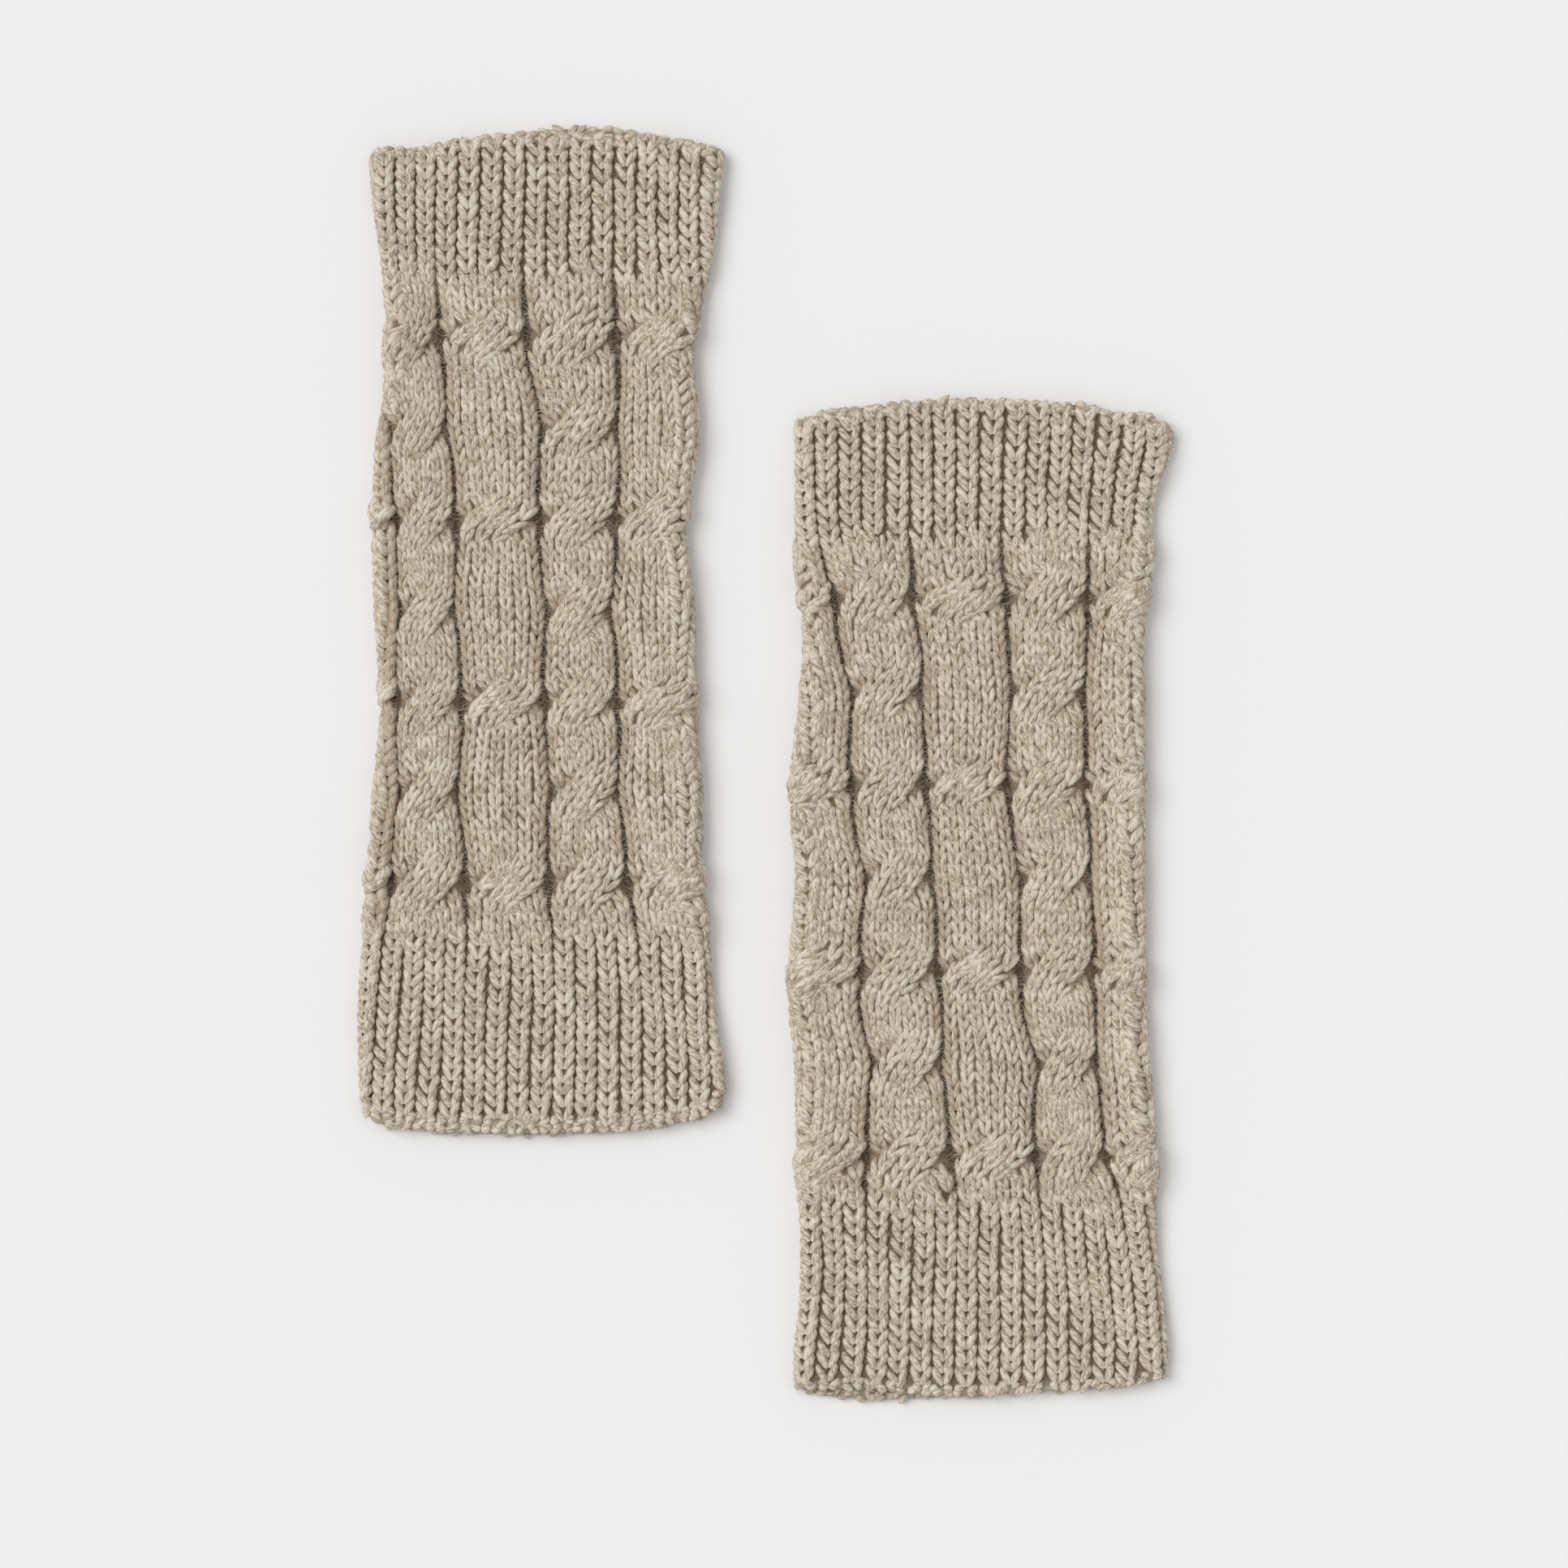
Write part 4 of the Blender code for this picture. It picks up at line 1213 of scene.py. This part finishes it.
def fuzz_material(settings):
    """Loose fibres, a little paler than the yarn."""
    material, _, shader = new_material("loose_fibres", 0.9)
    shader.inputs["Base Color"].default_value = settings.fuzz_colour
    return material


# Settings


def number(name, default, description, **more):
    """A setting with one value."""
    return FloatProperty(name=name, description=description, default=default, **more)


def colour(name, default, description):
    """A setting that is a colour."""
    return FloatVectorProperty(
        name=name, subtype="COLOR", size=4, default=(*default, 1.0), description=description
    )


class KnitSettings(bpy.types.PropertyGroup):
    """The yarn and its colours."""

    yarn_radius: number("Yarn radius", 1.4, "Half the thickness of the yarn, in millimetres")
    stand_out: number("Stand-out", 0.45, "How far stitches stand out of the solids, in millimetres")
    shell_sink: number("Shell depth", 0.95, "How far the cloth lies under the solids, in millimetres")
    ply_pitch: number("Ply pitch", 15.0, "Length in which the plies turn once, in millimetres")
    fibre_pitch: number("Fibre pitch", 24.0, "Length in which the fibres turn once, in millimetres")
    seed: IntProperty(name="Seed", description="Seed of the stitches' unevenness", default=11)
    pale_fibre: colour("Pale fibre", (0.80, 0.725, 0.605), "Colour of the yarn's pale fibres")
    dark_fibre: colour("Dark fibre", (0.36, 0.265, 0.185), "Colour of the yarn's brownish fibres")
    # Painted shade: the colour put on the yarn between its plies, at its dips and on its sides, and in the
    # cloth's pits
    painted_shade_colour: colour("Groove", (0.36, 0.25, 0.165), "Colour deep between plies and stitches")
    # Deeper painted shade, on the cloth along the grooves and in the ribs' pits and valleys
    deep_shade_colour: colour("Deep", (0.165, 0.113, 0.073), "Colour of the cloth behind the stitches")
    fuzz_colour: colour("Fuzz", (0.62, 0.54, 0.43), "Colour of the loose fibres")
    fuzz_density: number("Fuzz density", 160000.0, "Loose fibres on a square metre of flat cloth")
    fuzz_length: number("Fuzz length", 0.0032, "Length of a loose fibre", unit="LENGTH")
    fuzz_thickness: number("Fuzz thickness", 0.0001, "Half the thickness of a fibre's root", unit="LENGTH")


class StageSettings(bpy.types.PropertyGroup):
    """The surface, light and camera."""

    floor_colour: colour("Floor", (0.925, 0.925, 0.925), "Colour of the pale surface")
    key_strength: number("Key light", 1.5, "Strength of the soft light")
    key_softness: number("Key softness", 40.0, "Angle that the soft light fills, in degrees")
    key_from: FloatVectorProperty(
        name="Key direction", description="Where the soft light comes from", default=(-0.7, 0.3, 1.05)
    )
    ambient: number("Ambient", 0.54, "Strength of the light from all round")
    frame_width: number("Frame width", 0.628, "Width of the surface in view", unit="LENGTH")
    lens: number("Lens", 110.0, "Focal length, in millimetres")
    aim_x: number("Aim X", 0.0075, "Middle of the view", unit="LENGTH")
    aim_y: number("Aim Y", -0.0083, "Middle of the view", unit="LENGTH")


# Operators


def made_once(store_of, name, make, *arguments):
    """A material or node tree by its name, made when it is first asked for."""
    return store_of.get(name) or make(*arguments)


def strand_groups(cloth, yarn, dice):
    """The strands of each piece of one leg warmer, with the number of sides of their yarn."""
    parity = cloth.warmer.quick_parity
    quick, slow = range(parity, REPEATS, 2), range(1 - parity, REPEATS, 2)
    ends = ("lower", "upper")
    return {
        "quick_cables": (6, [knit_leg(cloth, yarn, dice, quick, True)]),
        "slow_cables": (6, [knit_leg(cloth, yarn, dice, slow, True)]),
        "ribbing": (
            6,
            [knit_cuff(cloth, yarn, dice, end, True) for end in ends]
            + rim_chain(cloth, yarn, dice)
            + hem_rows(cloth, yarn, dice)
            + [knot(cloth, yarn, dice)],
        ),
        "underside": (5, [knit_leg(cloth, yarn, dice, range(REPEATS), False)]),
        "underside_ribbing": (5, [knit_cuff(cloth, yarn, dice, end, False) for end in ends]),
    }


class KNIT_OT_warmer(bpy.types.Operator):
    """Knits one leg warmer: its shell, its cables, its cuffs, its edges and its fuzz."""

    bl_idname = "knit.warmer"
    bl_label = "Knit a leg warmer"

    side: StringProperty(name="Side", description="left or right", default="left")

    def execute(self, context):
        settings = context.scene.knit
        warmer = WARMERS[self.side]
        cloth = Cloth(warmer)
        seed = settings.seed + list(WARMERS).index(self.side)
        dice = np.random.default_rng(seed)
        yarn = Yarn(settings.yarn_radius, settings.stand_out)
        materials, trees = bpy.data.materials, bpy.data.node_groups
        heather = made_once(materials, "heather_yarn", yarn_material, settings)
        felt = made_once(materials, "felt_and_painted_shade", shell_material, settings)
        loose = made_once(materials, "loose_fibres", fuzz_material, settings)
        strands = made_once(trees, "Strands of yarn", strand_tree)
        fuzz = made_once(trees, "Fuzz", fuzz_tree)

        mesh = shell_mesh(f"{self.side}_cloth", cloth, settings.shell_sink)
        mesh.materials.append(felt)
        shell = bpy.data.objects.new(mesh.name, mesh)
        context.scene.collection.objects.link(shell)
        pieces = []
        for kind, (sides, made) in strand_groups(cloth, yarn, dice).items():
            name = f"{self.side}_{kind}"
            pieces.append(finished(name, strand_mesh(name, made), strands, {"Sides": sides, "Yarn": heather}))
        name = f"{self.side}_fringe"
        loose_ends = strand_mesh(name, [fringe(cloth, yarn, dice)])
        pieces.append(finished(name, loose_ends, strands, {"Sides": 3, "Yarn": loose}))
        fibres = {
            "Density": settings.fuzz_density,
            "Length": settings.fuzz_length,
            "Thickness": settings.fuzz_thickness,
            "Height": (settings.shell_sink + settings.stand_out - FUZZ_ROOTS) * MM,
            "Seed": seed,
            "Yarn": loose,
        }
        pieces.append(finished(f"{self.side}_fuzz", mesh.copy(), fuzz, fibres))

        for piece in (shell, *pieces):
            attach(piece, "root")
        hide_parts(f"{self.side}_lower_cuff", f"{self.side}_leg", f"{self.side}_upper_cuff")
        middle = np.full(REPEATS, (warmer.leg_from + warmer.leg_to) / 2)
        around = cloth.read("width", np.arange(REPEATS) + 0.5, middle).sum()
        return {"FINISHED"}


class KNIT_OT_stage(bpy.types.Operator):
    """Adds the pale surface, the soft light and the camera straight above."""

    bl_idname = "knit.stage"
    bl_label = "Stage"

    def execute(self, context):
        scene = context.scene
        settings = scene.knit_stage
        mesh = bpy.data.meshes.new("floor")
        corners = [(-FLOOR, -FLOOR, 0), (FLOOR, -FLOOR, 0), (FLOOR, FLOOR, 0), (-FLOOR, FLOOR, 0)]
        mesh.from_pydata(corners, [], [(0, 1, 2, 3)])
        floor = bpy.data.objects.new("floor", mesh)
        scene.collection.objects.link(floor)
        material, _, shader = new_material("pale_surface", 0.9)
        shader.inputs["Base Color"].default_value = settings.floor_colour
        mesh.materials.append(material)

        light = bpy.data.lights.new("window", "SUN")
        light.energy = settings.key_strength
        light.angle = math.radians(settings.key_softness)
        lamp = bpy.data.objects.new("window", light)
        lamp.rotation_mode = "QUATERNION"
        lamp.rotation_quaternion = (-Vector(settings.key_from)).to_track_quat("-Z", "Y")
        scene.collection.objects.link(lamp)

        world = bpy.data.worlds.new("soft_room")
        world.use_nodes = True
        background = world.node_tree.nodes["Background"]
        background.inputs["Color"].default_value = (1.0, 1.0, 1.0, 1.0)
        background.inputs["Strength"].default_value = settings.ambient
        scene.world = world
        scene.view_settings.view_transform = "Standard"

        camera = bpy.data.cameras.new("camera")
        camera.lens = settings.lens
        camera.sensor_width = 36.0
        camera.dof.use_dof = False
        eye = bpy.data.objects.new("camera", camera)
        height = settings.frame_width * settings.lens / camera.sensor_width
        eye.location = (settings.aim_x, settings.aim_y, height)
        camera.clip_start, camera.clip_end = 0.05, 20.0
        scene.collection.objects.link(eye)
        scene.camera = eye
        return {"FINISHED"}


class KNIT_PT_panel(bpy.types.Panel):
    """Shows the main settings, and the buttons that knit each leg warmer and add the stage."""

    bl_label = "Knitwear"
    bl_idname = "KNIT_PT_panel"
    bl_space_type = "VIEW_3D"
    bl_region_type = "UI"
    bl_category = "Knitwear"

    def draw(self, context):
        layout = self.layout
        for name in ("yarn_radius", "stand_out", "ply_pitch", "pale_fibre", "dark_fibre", "fuzz_density"):
            layout.prop(context.scene.knit, name)
        for side in WARMERS:
            layout.operator("knit.warmer", text=f"Knit the {side} leg warmer").side = side
        for name in ("floor_colour", "key_strength", "ambient"):
            layout.prop(context.scene.knit_stage, name)
        layout.operator("knit.stage")


CLASSES = (KnitSettings, StageSettings, KNIT_OT_warmer, KNIT_OT_stage, KNIT_PT_panel)


def register():
    for cls in CLASSES:
        bpy.utils.register_class(cls)
    bpy.types.Scene.knit = PointerProperty(type=KnitSettings)
    bpy.types.Scene.knit_stage = PointerProperty(type=StageSettings)


def unregister():
    del bpy.types.Scene.knit_stage
    del bpy.types.Scene.knit
    for cls in reversed(CLASSES):
        bpy.utils.unregister_class(cls)


def main():
    """Makes both leg warmers and the stage."""
    register()
    bpy.ops.knit.stage()
    for side in WARMERS:
        bpy.ops.knit.warmer(side=side)


if __name__ == "__main__":
    main()
